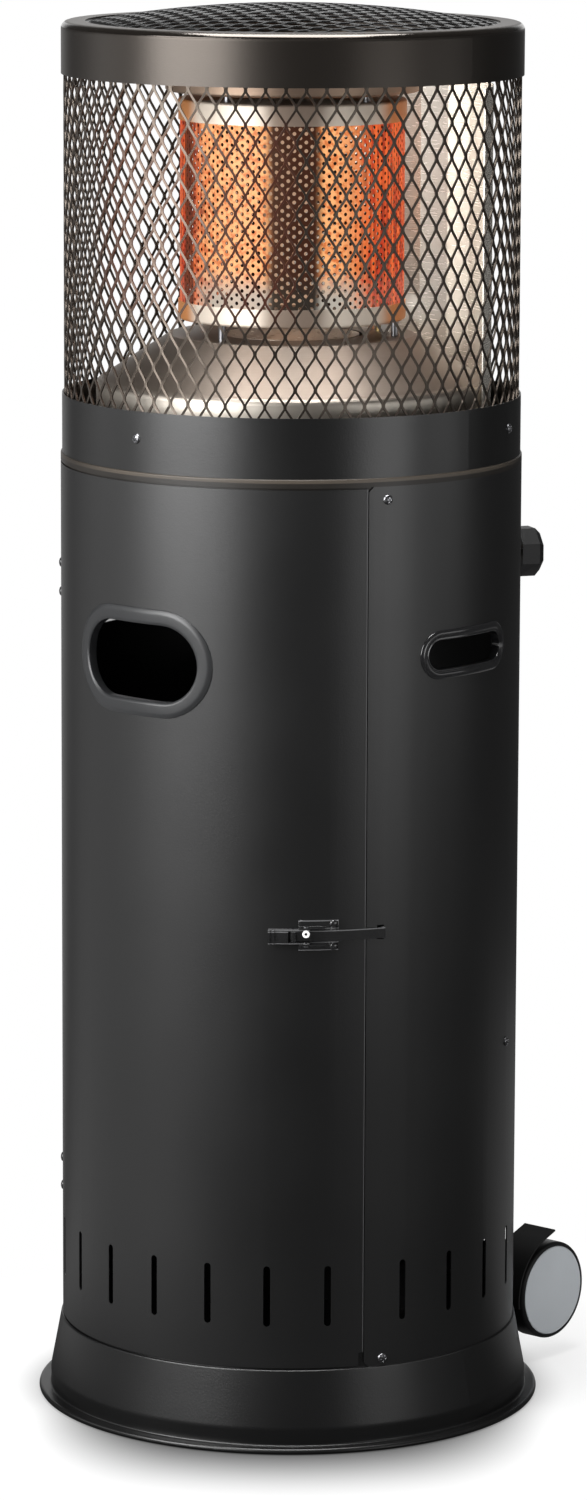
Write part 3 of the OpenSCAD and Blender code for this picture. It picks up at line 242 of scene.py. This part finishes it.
def piece(name, parts, finish, nodes, body="heater", sharp=35):
    """One mesh from grids of points in millimetres. A part is (points, rows close, columns close),
    and points may hold many grids of one size. Shared points merge, which closes seams and poles."""
    points, faces, count = [], [], 0
    for grid, rows_close, columns_close in parts:
        rows, columns = grid.shape[-3:-1]
        copies = grid.reshape(-1, rows * columns, 3)
        first = count + rows * columns * np.arange(len(copies))
        grid_faces = quads(rows, columns, rows_close, columns_close)
        faces.append((grid_faces + first[:, None, None]).reshape(-1, 4))
        points.append(copies.reshape(-1, 3))
        count += len(points[-1])
    points, faces = np.concatenate(points) * 0.001, np.concatenate(faces)
    mesh = bpy.data.meshes.new(name)
    mesh.vertices.add(len(points))
    mesh.vertices.foreach_set("co", points.ravel())
    mesh.loops.add(faces.size)
    mesh.loops.foreach_set("vertex_index", faces.ravel())
    mesh.polygons.add(len(faces))
    mesh.polygons.foreach_set("loop_start", np.arange(0, faces.size, 4))
    mesh.update(calc_edges=True)
    shell = bmesh.new()
    shell.from_mesh(mesh)
    bmesh.ops.remove_doubles(shell, verts=shell.verts, dist=merge_gap)
    bmesh.ops.recalc_face_normals(shell, faces=shell.faces)
    shell.to_mesh(mesh)
    shell.free()
    mesh.shade_smooth()
    mesh.set_sharp_from_angle(angle=math.radians(sharp))
    made = bpy.data.objects.new(name, mesh)
    scene.collection.objects.link(made)
    mesh.materials.append(finish.material)
    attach(made, body)
    if nodes:
        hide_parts(*nodes)
    return made


def eased(corners, steps=5):
    """A closed outline whose corners (a, b, reach) are curves that leave each side at reach."""
    corners = np.array(corners, float)
    point, reach = corners[:, :2], corners[:, 2:]
    back, ahead = np.roll(point, 1, 0) - point, np.roll(point, -1, 0) - point
    start = point + reach * back / np.linalg.norm(back, axis=1, keepdims=True)
    end = point + reach * ahead / np.linalg.norm(ahead, axis=1, keepdims=True)
    t = np.linspace(0, 1, steps)[:, None]
    curve = (1 - t) ** 2 * start[:, None] + 2 * t * (1 - t) * point[:, None] + t ** 2 * end[:, None]
    return curve.reshape(-1, 2)


def lathe(outline, turns=192):
    """A closed outline of radii and heights, turned once about the heater's axis."""
    outline = np.array(outline, float)
    return polar(outline[:, :1], np.arange(turns) * 360 / turns, outline[:, 1:]), True, True


def zigzag(along):
    """A rounded triangle wave of height 1 and period 4: the sideways swing of a stretched strand."""
    return np.arcsin(0.97 * np.sin(np.pi / 2 * along)) / np.arcsin(0.97)


def strands(path, out, width, thick, lean):
    """Bars along paths (strand, station, 3): a rectangle width by thick, its face leaning from the
    sheet's outward direction towards the side, and drawn to a point at both ends. The width may
    change along it."""
    run = np.gradient(path, axis=1)
    run /= np.linalg.norm(run, axis=-1, keepdims=True)
    side = np.cross(run, out)
    side /= np.linalg.norm(side, axis=-1, keepdims=True)
    face = out + lean * side
    face /= np.linalg.norm(face, axis=-1, keepdims=True)
    side = np.cross(run, face)
    size = np.ones(path.shape[1])
    size[[0, -1]] = 0
    size = size[:, None, None]
    corner = np.array([[1, 1], [-1, 1], [-1, -1], [1, -1]]) / 2
    width = np.broadcast_to(width, path.shape[:2])[..., None, None]
    offset = side[:, :, None] * corner[:, :1] * width + face[:, :, None] * (corner[:, 1:] * thick)
    return path[:, :, None] + offset * size, False, True


def on_casing(points, angle, r, z):
    """Points given as right, up and outwards, set on the round casing at each angle and height."""
    a = np.radians(np.array(angle, float))[:, None, None]
    z = np.array(z, float)[:, None, None]
    right, up, out = points[..., 0], points[..., 1], points[..., 2]
    x = (r + out) * np.sin(a) + right * np.cos(a)
    y = -(r + out) * np.cos(a) + right * np.sin(a)
    return np.stack([x, y, up + z], -1)


def ramp(value, width):
    """0 to 1 as value goes from -width to width."""
    return np.clip(0.5 + value / (2 * width), 0, 1)


def cross_screw(length, head_r=4.0, shank_r=2.0):
    """A round head on a plain shank. The head is half an ellipsoid, pressed in along a cross."""
    head = np.array([4.0, 3.8, 3.4, 3.0, 2.6, 2.3, 2.0, 1.6, 1.2, 0.8, 0.4, 0]) * head_r / 4
    r = np.concatenate([[0, shank_r, shank_r], head])[:, None]
    h = np.concatenate([[-length, -length, 0], 0.5 * np.sqrt(head_r ** 2 - head ** 2)])[:, None]
    turn = np.radians(np.arange(48) * 7.5)
    u, v = r * np.cos(turn), r * np.sin(turn)
    bar_half, bar_reach, bar_depth = 0.55, 2.3, 1.1
    bars = np.maximum(ramp(bar_half - abs(u), 0.2), ramp(bar_half - abs(v), 0.2))
    bars = bars * ramp(bar_reach - r, 0.3)
    h = h - bar_depth * bars * (np.arange(len(r)) > 2)[:, None]
    return np.stack([u, v, h + 0 * u], -1)


def oval_rim(outline, angle, z, width, height):
    """An outline of (outwards from the hole's edge, above the casing), carried round an oval hole:
    half circles at the ends, straight sides, all bent round the casing."""
    half = (width - height) / 2
    end, side = np.linspace(-90, 90, 21), np.linspace(half, -half, 15)[1:-1]
    shift = np.concatenate([np.full(21, half), side, np.full(21, -half), -side])
    turn = np.radians(np.concatenate([end, np.full(13, 90), end + 180, np.full(13, 270)]))
    away, rise = outline[:, :1], outline[:, 1:]
    r = casing_r + rise
    u, v = shift + (height / 2 + away) * np.cos(turn), (height / 2 + away) * np.sin(turn)
    return polar(r, angle + np.degrees(np.arcsin(u / r)), z + v), True, True


# Finishes -------------------------------------------------------------------

coat_black = (0.002, 0.002, 0.0021), (0.003, 0.003, 0.0031)
skirt_coat = coated("skirt_coat", *coat_black, 0.33, 0.62)
ring_coat = coated("ring_coat", (0.002, 0.002, 0.002), (0.003, 0.003, 0.003), 0.34, 0.68)
grille_coat = coated(
    "grille_coat", (0.008, 0.008, 0.008), (0.013, 0.013, 0.013), 0.26, 0.5, grain=900)
trim_grey = coated(
    "trim_grey", (0.012, 0.0125, 0.0135), (0.017, 0.0175, 0.0185), 0.36, 0.55, grain=1400)
trim_gloss = coated(
    "trim_gloss", (0.007, 0.007, 0.0075), (0.010, 0.010, 0.0105), 0.15, 0.9, grain=300, relief=0.00001)
black_plastic = coated(
    "black_plastic", (0.005, 0.005, 0.0053), (0.009, 0.009, 0.0093), 0.4, 0.3, grain=1100)
disc_grey = coated("disc_grey", (0.34, 0.36, 0.38), (0.39, 0.41, 0.43), 0.5, 0.4, grain=1100)
black_steel = coated(
    "black_steel", (0.006, 0.006, 0.0063), (0.012, 0.012, 0.0125), 0.22, 0.9, grain=500, relief=0.00003)
cream_plastic = coated("cream_plastic", (0.66, 0.62, 0.52), (0.72, 0.68, 0.58), 0.5, 0.4)
glazed = coated("glazed", (0.76, 0.74, 0.68), (0.82, 0.80, 0.75), 0.22, 0.5, grain=200)
brushed_steel = metal("brushed_steel", (0.60, 0.51, 0.43), (0.78, 0.70, 0.62), 0.36)
mirror_steel = metal("mirror_steel", (0.74, 0.70, 0.63), (0.84, 0.80, 0.73), 0.26, metallic=0.65)
zinc_plate = metal("zinc_plate", (0.20, 0.20, 0.21), (0.30, 0.30, 0.31), 0.32, grain=600)
bright_zinc = metal(
    "bright_zinc", (0.80, 0.80, 0.80), (0.90, 0.90, 0.90), 0.45, grain=600, metallic=0.3)
turned_brass = metal("turned_brass", (0.56, 0.40, 0.17), (0.64, 0.48, 0.23), 0.30)
drawn_copper = metal("drawn_copper", (0.60, 0.32, 0.18), (0.70, 0.41, 0.26), 0.32)
bronzed_steel = metal("bronzed_steel", (0.30, 0.21, 0.15), (0.42, 0.31, 0.235), 0.46)


def casing_finish():
    """Satin black coat, with a lighter line painted down the door's free edge: a painted highlight of
    that edge.
    """
    f = coated("casing_coat", *coat_black, 0.38, 0.8, peeled=0.0)
    edge = f.angle().within(door_edge - 0.3, door_edge - 0.05, 0.05)
    # Painted highlight: the lighter line along the door's free edge, above its lowest few millimetres.
    painted_highlight = edge * f.height().above(casing_low + 2.5, casing_low + 4.5)
    f.feed(Base_Color=f.mix(painted_highlight, f.tone, (0.04, 0.04, 0.041)))
    return f


def cap_finish():
    """Brown-black coat, polished by wear on the rounded top edge."""
    f = coated("cap_coat", (0.003, 0.0025, 0.0021), (0.0045, 0.0038, 0.0032), 0.34, 0.62,
               tint=(1.0, 0.88, 0.78))
    polished = f.height().within(cap_top - 3.8, cap_top - 1.2, 0.8)
    f.feed(Roughness=f.rough - 0.22 * polished)
    return f


def latch_finish():
    """Gloss black steel, with lighter bands painted along the edges of the lever, the strap and the
    base: a painted highlight.
    """
    black = (0.009, 0.009, 0.0093)
    f = coated("latch_steel", black, black, 0.18, 0.9, grain=500, relief=0.00003)
    edges = [(428.6, 429.4), (417.6, 418.2), (435.0, 435.8), (411.2, 411.9), (427.1, 427.8)]
    z = f.height()
    # Painted highlight: lighter base colour at the heights of the lever's, strap's and base's edges.
    painted_highlight = sum(z.within(low, high, 0.2) for low, high in edges)
    f.feed(Base_Color=f.mix(painted_highlight, f.tone, (0.085, 0.085, 0.087)))
    return f


def collar_finish():
    """Dark bronze coat, with a lighter line painted round the collar's rounded edge, clearest on the
    right: a painted highlight.
    """
    f = Finish("collar_bronze", {"Specular IOR Level": 0.4})
    cloud = f.noise(30)
    # Painted highlight round the collar's rounded edge, stronger towards the right.
    edge = f.height().within(casing_top + 4.2, casing_top + 6.4, 0.8)
    painted_highlight = edge * (0.25 + 0.75 * f.angle().within(0.0, 95.0, 30.0))
    tone = f.mix(cloud, (0.009, 0.0075, 0.006), (0.015, 0.0125, 0.010))
    f.feed(Base_Color=f.mix(painted_highlight * 0.8, tone, (0.062, 0.050, 0.038)), Roughness=0.34 + 0.12 * cloud)
    f.bump(f.noise(800), 0.00005)
    return f


def heat_lobe(f, waver):
    """Degrees round from a dull stripe of the burner to the next one, half a turn on."""
    turn = f.angle() + (360 - dull_stripe) + waver
    return turn.math("MODULO", turn, 180.0)


def guard_finish():
    """Black coat, browned by heat. Before a lobe of the burner the strands get a dark red emission, a
    painted glow standing in for the burner's light on them.
    """
    f = Finish("guard_coat", {"Specular IOR Level": 0.8, "Specular Tint": (1.0, 0.84, 0.7),
                              "Emission Strength": 1.0})
    peel = f.noise(900, detail=3.0)
    # Painted glow: dark red emission on the strands in front of a glowing lobe of the burner.
    painted_glow = f.height().within(930.0, 1050.0, 30.0) * heat_lobe(f, 0.0).within(135.0, 172.0, 18.0)
    f.feed(Base_Color=f.mix(peel, (0.007, 0.0055, 0.0045), (0.011, 0.0085, 0.007)),
           Roughness=0.3 + 0.08 * peel,
           Emission_Color=f.mix(painted_glow, (0.0, 0.0, 0.0), (0.055, 0.008, 0.002)))
    f.bump(peel, 0.00005)
    return f


def dome_finish():
    """Satin steel dome, browned by heat down to its shoulder. Below the shoulder it is painted a light
    cream, a painted reflection.
    """
    f = metal("dome_steel", (0.17, 0.14, 0.115), (0.26, 0.22, 0.187), 0.42)
    # Painted reflection: light cream base colour below the shoulder.
    below = 1 - f.height().above(841.0, 850.0)
    f.feed(Base_Color=f.mix(below, f.tone, (0.72, 0.66, 0.58)))
    return f


def rim_finish():
    """Steel rims that hold the emitter: cream over most of a lobe and straw brown at the dull stripe.
    Towards the lobe's red end they turn orange-brown, a painted reflection of the red glow."""
    f = Finish("rim_steel", {"Metallic": 0.6})
    cloud, lines = f.noise(30), f.brushed(1500)
    lobe = heat_lobe(f, 6 * (cloud - 0.5))
    stripe = 1 - lobe.above(8.0, 22.0) * (1 - lobe.above(158.0, 172.0))
    # Painted reflection: orange-brown where the emitter beside the rim glows red.
    tone = f.mix(lobe.within(60.0, 112.0, 14.0), (0.72, 0.63, 0.53), (0.60, 0.25, 0.085))
    f.feed(Base_Color=f.mix(stripe * 0.9, tone, (0.26, 0.19, 0.145)), Roughness=0.42 + 0.12 * lines)
    f.bump(lines, 0.00002)
    return f


def emitter_finish():
    """Perforated steel in the burner's heat. Two lobes glow round it, each from peach to red, between
    dull stripes whose holes show the light inside.
    The lowest rows stay cool and do not glow; outside the dull stripes they carry a pale painted
    reflection instead."""
    f = Finish("emitter_glow", {"Metallic": 1.0, "Emission Strength": 1.0})
    cloud, fine = f.noise(26), f.noise(240)
    lobe = heat_lobe(f, 5 * (cloud - 0.5))
    r = f.radius()
    outer = r.above(emitter_r - 0.75, emitter_r - 0.35)
    inner = 1 - r.above(emitter_r - 0.98, emitter_r - 0.9)
    seam = lobe.within(109.0, 117.0, 3.0)
    dull = 1 - lobe.above(10.0, 16.0) * (1 - lobe.above(164.0, 170.0)) * (1 - 0.8 * seam)
    peach = f.mix(fine.above(0.3, 0.6), (0.68, 0.16, 0.035), (1.0, 0.47, 0.185))
    patchy = lobe + 26 * (fine - 0.5)
    ends = patchy.above(22.0, 46.0) * (1 - patchy.above(116.0, 138.0))
    streak = f.noise(260, (1, 1, 0.06)).above(0.38, 0.68)
    ember = f.mix(fine.above(0.35, 0.65), (0.16, 0.004, 0.001), (0.50, 0.026, 0.004))
    red = f.mix(streak, ember, (0.80, 0.13, 0.024))
    glow = f.mix(ends, peach, red)
    glow = f.mix(dull, glow, f.mix(fine, (0.016, 0.005, 0.003), (0.060, 0.016, 0.008)))
    # The cool lowest rows do not glow; outside the dull stripes they get a pale emission, a painted
    # reflection.
    cool_painted_reflection = (1 - (f.height() + 14 * (cloud - 0.5)).above(918.0, 946.0)) * (1 - 0.9 * ends)
    glow = f.mix(cool_painted_reflection, glow, f.mix(dull, (0.42, 0.40, 0.35), (0.020, 0.019, 0.016)))
    within = f.mix(inner * dull, (0.008, 0.003, 0.002), (0.46, 0.29, 0.19))
    f.feed(Emission_Color=f.mix(outer, within, glow),
           Base_Color=f.mix(outer * (1 - 0.8 * dull), (0.02, 0.014, 0.01), (0.12, 0.07, 0.045)),
           Roughness=0.42 + 0.2 * cloud)
    f.bump(fine, 0.0001)
    return f


casing_coat = casing_finish()
cap_coat = cap_finish()
latch_steel = latch_finish()
collar_bronze = collar_finish()
emitter_glow = emitter_finish()
guard_coat = guard_finish()
rim_steel = rim_finish()
dome_steel = dome_finish()

by_slot = {
    "black_coat": casing_coat, "guard_black": ring_coat, "collar": collar_bronze,
    "grey_trim": trim_grey, "gloss_black": trim_gloss, "black_plastic": black_plastic,
    "hub_grey": disc_grey, "stainless": brushed_steel, "polished": mirror_steel,
    "emitter": emitter_glow, "zinc": zinc_plate, "dark_steel": black_steel, "brass": turned_brass,
    "copper": drawn_copper, "ceramic": glazed, "cream_plastic": cream_plastic,
}
by_node = {
    "top_cap": cap_coat, "emitter_base": rim_steel, "emitter_lid": rim_steel,
    "deflector": bronzed_steel, "dome_reflector": dome_steel, "base_skirt": skirt_coat,
    "latch_base": latch_steel, "latch_lever": latch_steel, "latch_strap": latch_steel,
}
for part in frame["record"]["subparts"]:
    node = part["node"]
    mesh = frame["nodes"][node].data
    mesh.materials.clear()
    mesh.materials.append(by_node.get(node, by_slot[part["material_slot"]]).material)


# Guard and grille -----------------------------------------------------------

def guard_wires(columns=73, row=27.5, first_bond=1092.5, stations=109, tuck=4.0, blunt=1.16,
                reach=0.445):
    """Strands of stretched sheet rolled to a cylinder: strand s swings about the middle of its lane,
    by its reach in lanes, as a zigzag of the height with blunt tips, its neighbours the other way,
    so that each pair runs together at the bonds. The ends are tucked into the rims."""
    lane = 180 / columns
    s = np.arange(2 * columns)[:, None]
    z = np.linspace(guard_low + tuck, guard_high - tuck, stations)
    swing = np.clip(blunt * zigzag(4 * (z - first_bond) / row - 1), -1, 1) * np.where(s % 2, -1, 1)
    angle = lane * (s + 0.5 + reach * swing)
    path, out = polar(guard_mid_r, angle, z), polar(1, angle, 0 * z)
    return strands(path, out, width=1.75, thick=1.3, lean=0.15)


def guard_rim(low):
    """The plain edge of the sheet, hidden in the band or the cap."""
    inner, outer, high = guard_mid_r - 0.8, guard_mid_r + 0.8, low + guard_rim_h
    corners = [(inner, low, 0.3), (outer, low, 0.3), (outer, high, 0.3), (inner, high, 0.3)]
    return lathe(eased(corners, 3), 144)


piece("guard", [guard_wires(), guard_rim(guard_low), guard_rim(guard_high - guard_rim_h)], guard_coat,
      ["guard_mesh"], sharp=50)


def grille_dome(r):
    """Height of the grille's ball at a radius: a cap of a sphere that rises over the lip."""
    open_r, rise = lip_r - 1.5, grille_rise + cap_sheet
    ball = (open_r ** 2 + rise ** 2) / (2 * rise)
    return cap_top - cap_sheet + rise - ball + np.sqrt(ball ** 2 - r ** 2) - 0.8


def grille_wires(lane=8.0, row=27.5, stations=195, heading=-33.0, blunt=1.4, reach=0.44, ball=900.0):
    """The same stretched sheet, flat strands laid over a ball of about this radius and cut by the
    round edge. Lanes run along a line turned by the heading from the door's middle. Strands are
    widest at the bonds."""
    count = int(2 * (lip_r - 2) / lane)
    s = np.arange(count)[:, None]
    middle = lane * (s + 0.5 - count / 2)
    along = np.linspace(-1, 1, stations) * np.sqrt((lip_r - 1) ** 2 - middle ** 2)
    swing = np.clip(blunt * zigzag(4 * along / row), -1, 1)
    across = middle + lane * reach * swing * np.where(s % 2, -1, 1)
    r = np.hypot(along, across)
    angle = heading + np.degrees(np.arctan2(across, along))
    path = polar(r, angle, grille_dome(np.minimum(r, lip_r - 1)))
    out = np.stack([path[..., 0], path[..., 1], np.full(r.shape, ball)], -1)
    out /= np.linalg.norm(out, axis=-1, keepdims=True)
    return strands(path, out, width=1.0 + 1.4 * swing ** 8, thick=1.2, lean=0.1)


def grille_rim():
    """The pressed edge of the grille, which lies under the cap's lip."""
    inner, outer, low = lip_r - 4.5, lip_r + 5.5, cap_top - cap_sheet - 1.5
    corners = [(inner, low + 0.2, 0.3), (outer, low + 0.1, 0.3), (outer, low + 1.4, 0.3),
               (inner, low + 1.4, 0.3)]
    return lathe(eased(corners, 3), 144)


piece("grille", [grille_wires(), grille_rim()], grille_coat, ["top_grille"], sharp=50)


# Emitter --------------------------------------------------------------------

def emitter_wall(columns=120, rows=23, row=6.8, low=906.0, hole=1.6, wall=1.0):
    """A tube of cells in columns, every other column half a row higher. A cell goes from its eight
    edge points in to an eight-sided hole, through the wall and out to the same edge inside."""
    turn = np.radians(np.arange(8) * 45)
    edge = np.stack([np.round(np.cos(turn) * 1.2) / 2, np.round(np.sin(turn) * 1.2) / 2 * row], -1)
    width = 2 * np.pi * emitter_r / columns
    ring = np.stack([np.cos(turn) * hole / width, np.sin(turn) * hole], -1)
    across, up = np.moveaxis(np.stack([edge, ring, ring, edge]), -1, 0)
    inner_r = emitter_r - wall
    r = np.array([emitter_r, emitter_r, inner_r, inner_r])[:, None]
    column = np.arange(columns)[:, None, None, None]
    z = low + (np.arange(rows)[:, None, None] + 0.5 + column % 2 / 2) * row + up
    cells = polar(r, (column + across) * 360 / columns, z)
    step = 360 / columns / 2
    face = np.array([emitter_r, inner_r])[:, None, None, None]

    def infill(first, z0):
        """Half cells, three points wide, that level the ends of every other column."""
        at = (2 * np.arange(first, columns, 2)[:, None, None] + np.array([-1, 0, 1])) * step
        return polar(face, at, z0 + np.array([0, row / 2])[:, None]), False, False

    def end(z0, z1):
        """The plain end: outside, edge and inside in one strip round the tube."""
        strip = np.array([[emitter_r, z0], [emitter_r, z1], [inner_r, z1], [inner_r, z0]])
        return polar(strip[:, :1], np.arange(2 * columns) * step, strip[:, 1:]), False, True

    top = low + rows * row
    return [(cells, False, True), infill(1, low), infill(0, top), end(low, emitter_low),
            end(top + row / 2, emitter_high)]


piece("emitter", emitter_wall(), emitter_glow, ["emitter_screen"], sharp=40)


# Handles, screws and latch --------------------------------------------------

front_outline = eased([
    (-1, -7.2, 0.2), (-1, 0.7, 0.6), (0.8, 2.0, 1.0), (8.6, 2.0, 1.4), (11.5, 0.7, 0.5),
    (11.5, 0.1, 0.2), (-0.1, 0.1, 0.05), (-0.1, -7.2, 0.3)])
front_oval = oval_rim(front_outline, angle=0, z=casing_top - 145, width=118, height=64)
piece("front_rim", [front_oval], trim_grey, ["front_handle_trim"], "door")
side_outline = eased([
    (-1, -7.2, 0.2), (-1, 0.5, 0.5), (-0.2, 1.1, 0.3), (1.2, 0.8, 0.4), (2.2, 2.0, 0.6),
    (5.4, 2.0, 0.8), (7, 0.7, 0.4), (7, 0.1, 0.2), (-0.1, 0.1, 0.05), (-0.1, -7.2, 0.3)])
for name, angle in [("right", 90.5), ("left", -90.5)]:
    side_oval = oval_rim(side_outline, angle, z=casing_top - 138.5, width=91, height=25.5)
    piece("side_rim_" + name, [side_oval], trim_gloss, ["side_handle_" + name])


def screws(name, node, length, r, places):
    """Cross-head screws at places (angle, height), their heads just proud of the sheet at radius r."""
    angle, z = np.array(places, float).T
    grid = on_casing(cross_screw(length), angle, r + 0.1, z)
    piece(name, [(grid, False, True)], zinc_plate, [node])


side_z = casing_low + 0.34 * (casing_top - casing_low)
screws("casing_screws", "body_screws", 2.8, casing_r, [
    (65, casing_low + 6), (-65, casing_low + 6), (65, casing_top - 10.5), (-65, casing_top - 10.5),
    (112, side_z), (-112, side_z)])
screws("band_cross_screws", "band_screws", 3.2, band_r, [
    (0, band_screw_z), (110.5, band_screw_z), (-110.5, band_screw_z)])


def eyelet(hole_r, outer_r, thick, turns=32):
    """A flat ring with eased edges, given as right, up and outwards, with its axis outwards."""
    ring = eased([(hole_r, 0, 0.1), (outer_r, 0, 0.1), (outer_r, thick, 0.3), (hole_r, thick, 0.3)], 4)
    turn = np.radians(np.arange(turns) * 360 / turns)
    r, h = ring[:, :1], ring[:, 1:]
    return np.stack([r * np.cos(turn), r * np.sin(turn), h + 0 * turn], -1)


lever_face_r, eyelet_angle, eyelet_z = 196.1, 44.9, 426.0
eyelet_grid = on_casing(eyelet(1.1, 3.0, 0.7), [eyelet_angle], lever_face_r, [eyelet_z])
piece("latch_eyelet", [(eyelet_grid, True, True)], bright_zinc, [], "latch_lever")


def soften(node, width):
    """Eases the edges of a kept solid: its loose triangles are welded, then bevelled."""
    solid = frame["nodes"][node]
    weld = solid.modifiers.new("weld", "WELD")
    weld.merge_threshold = merge_gap
    bevel = solid.modifiers.new("ease", "BEVEL")
    bevel.width, bevel.segments, bevel.limit_method = width * 0.001, 2, "ANGLE"
    bevel.angle_limit = math.radians(30)


for node in ("latch_base", "latch_lever", "latch_strap"):
    soften(node, 0.4)
soften("control_knob", 0.8)


# Camera, light and floor ----------------------------------------------------

camera = bpy.data.objects.new("camera", bpy.data.cameras.new("camera"))
scene.collection.objects.link(camera)
camera.data.lens, camera.data.sensor_width = 142.65, 36
azimuth, pitch, roll = math.radians(41), math.radians(10.09), math.radians(0.23)
distance, height, shift = 4.817, 1.397, 0.0028
stand = Vector((distance * math.sin(azimuth), -distance * math.cos(azimuth), height))
across = Vector((math.cos(azimuth), math.sin(azimuth), 0))
camera.location = stand + shift * across
level = math.cos(pitch)
look = Vector((-math.sin(azimuth) * level, math.cos(azimuth) * level, -math.sin(pitch)))
camera.rotation_mode = "QUATERNION"
camera.rotation_quaternion = look.to_track_quat("-Z", "Y") @ Quaternion((0, 0, 1), roll)
scene.camera = camera


def softbox(name, angle, away, height, wide, tall, power, aim):
    """A lit panel of so many watts, wide and tall in metres, at an angle round the heater, a distance
    from its axis and a height. It faces the axis at the height of its aim."""
    light = bpy.data.lights.new(name, "AREA")
    light.shape, light.size, light.size_y, light.energy = "RECTANGLE", wide, tall, power
    lamp = bpy.data.objects.new(name, light)
    a = math.radians(angle)
    lamp.location = (away * math.sin(a), -away * math.cos(a), height)
    lamp.rotation_mode = "QUATERNION"
    lamp.rotation_quaternion = (Vector((0, 0, aim)) - lamp.location).to_track_quat("-Z", "Y")
    scene.collection.objects.link(lamp)


softbox("front_box", -9, 2.3, 1.45, 1.85, 1.6, power=96, aim=0.9)
softbox("side_box", 87, 2.3, 0.62, 1.1, 0.6, power=6.4, aim=0.75)
softbox("side_fill", 120, 2.3, 0.70, 1.0, 0.6, power=2.1, aim=0.75)
softbox("left_fill", -60, 2.3, 1.1, 0.9, 1.1, power=2.4, aim=0.75)
softbox("top_box", 36, 0.15, 1.95, 0.85, 0.85, power=42, aim=0.8)

# The backdrop stands behind the heater, and the room on the camera's side is dim
backdrop = tuple(-camera.location.xy.normalized()) + (0.0,)
room, ambient = 0.05, 0.4
world = bpy.data.worlds.new("studio")
studio = Shading(world)
scene.world = world
world.cycles.sampling_method = "NONE"
heading = studio.node("ShaderNodeVectorMath", {"operation": "DOT_PRODUCT"}, {
    0: studio.node("ShaderNodeTexCoord", {}, {}, "Generated"), 1: backdrop}, "Value")
seen, gloss = studio.seen()
mirrored = room + (1 - room) * heading.above(0.88, 1.0)
studio.put(studio.tree.nodes["Background"], {
    "Color": (1.0, 1.0, 1.0), "Strength": seen + gloss * mirrored + (1 - seen - gloss) * ambient})


def floor_finish():
    """White paper. It is lit enough to pass into the white backdrop, apart from the heater's shadow,
    which reaches furthest to the front. What gloss reflects of it is dim like the room, with lighter
    sheets to the left, behind, and low at the back right."""
    f = Finish("floor_paper", {"Roughness": 0.9, "Specular IOR Level": 0.0})
    f.material.cycles.emission_sampling = "NONE"
    r, around = f.radius(), f.angle()
    open_sky = f.node("ShaderNodeAmbientOcclusion", {"samples": 16}, {"Distance": 0.16}, "AO")
    front = around.within(20.0, 62.0, 52.0)
    shade = r.above(157.0, 238.0 + 120.0 * front) * (0.85 + 0.15 * open_sky.above(0.1, 0.95))
    paper = f.mix(f.noise(40), (0.91, 0.91, 0.91), (0.94, 0.94, 0.94))
    f.feed(Base_Color=f.mix(shade, (0.04, 0.04, 0.04), paper))
    left, behind = around.within(-75.0, -25.0, 30.0), around.within(-146.0, -115.0, 10.0)
    back_right = 1 - around.within(-150.0, 140.0, 20.0)
    sheets = r.above(220.0, 600.0) * (0.4 * left + 0.5 * behind)
    mirrored = room + sheets + 0.2 * r.within(350.0, 1500.0, 200.0) * back_right
    seen, gloss = f.seen()
    bright = f.mix(seen * shade + gloss * mirrored, (0.0, 0.0, 0.0), (1.0, 1.0, 1.0))
    white = f.node("ShaderNodeEmission", {}, {"Color": bright})
    far = (0.75 + 0.25 * r.above(270.0, 430.0)) * seen + gloss
    blend = f.node("ShaderNodeMixShader", {}, {0: far, 1: Wire(f, f.shader.outputs[0]), 2: white})
    f.put(f.tree.nodes["Material Output"], {"Surface": blend})
    return f


floor_mesh = bpy.data.meshes.new("floor")
rings, spokes, floor_z = np.array([0, 150, 300, 600, 1200, 30000.0])[:, None], 96, -0.3
disc = polar(rings, np.arange(spokes) * 360 / spokes, floor_z) * 0.001
faces = quads(len(rings), spokes, False, True)
floor_mesh.from_pydata(disc.reshape(-1, 3).tolist(), [], faces.tolist())
floor_mesh.validate()
floor = bpy.data.objects.new("floor", floor_mesh)
scene.collection.objects.link(floor)
floor_mesh.materials.append(floor_finish().material)

scene.view_settings.view_transform = "Standard"
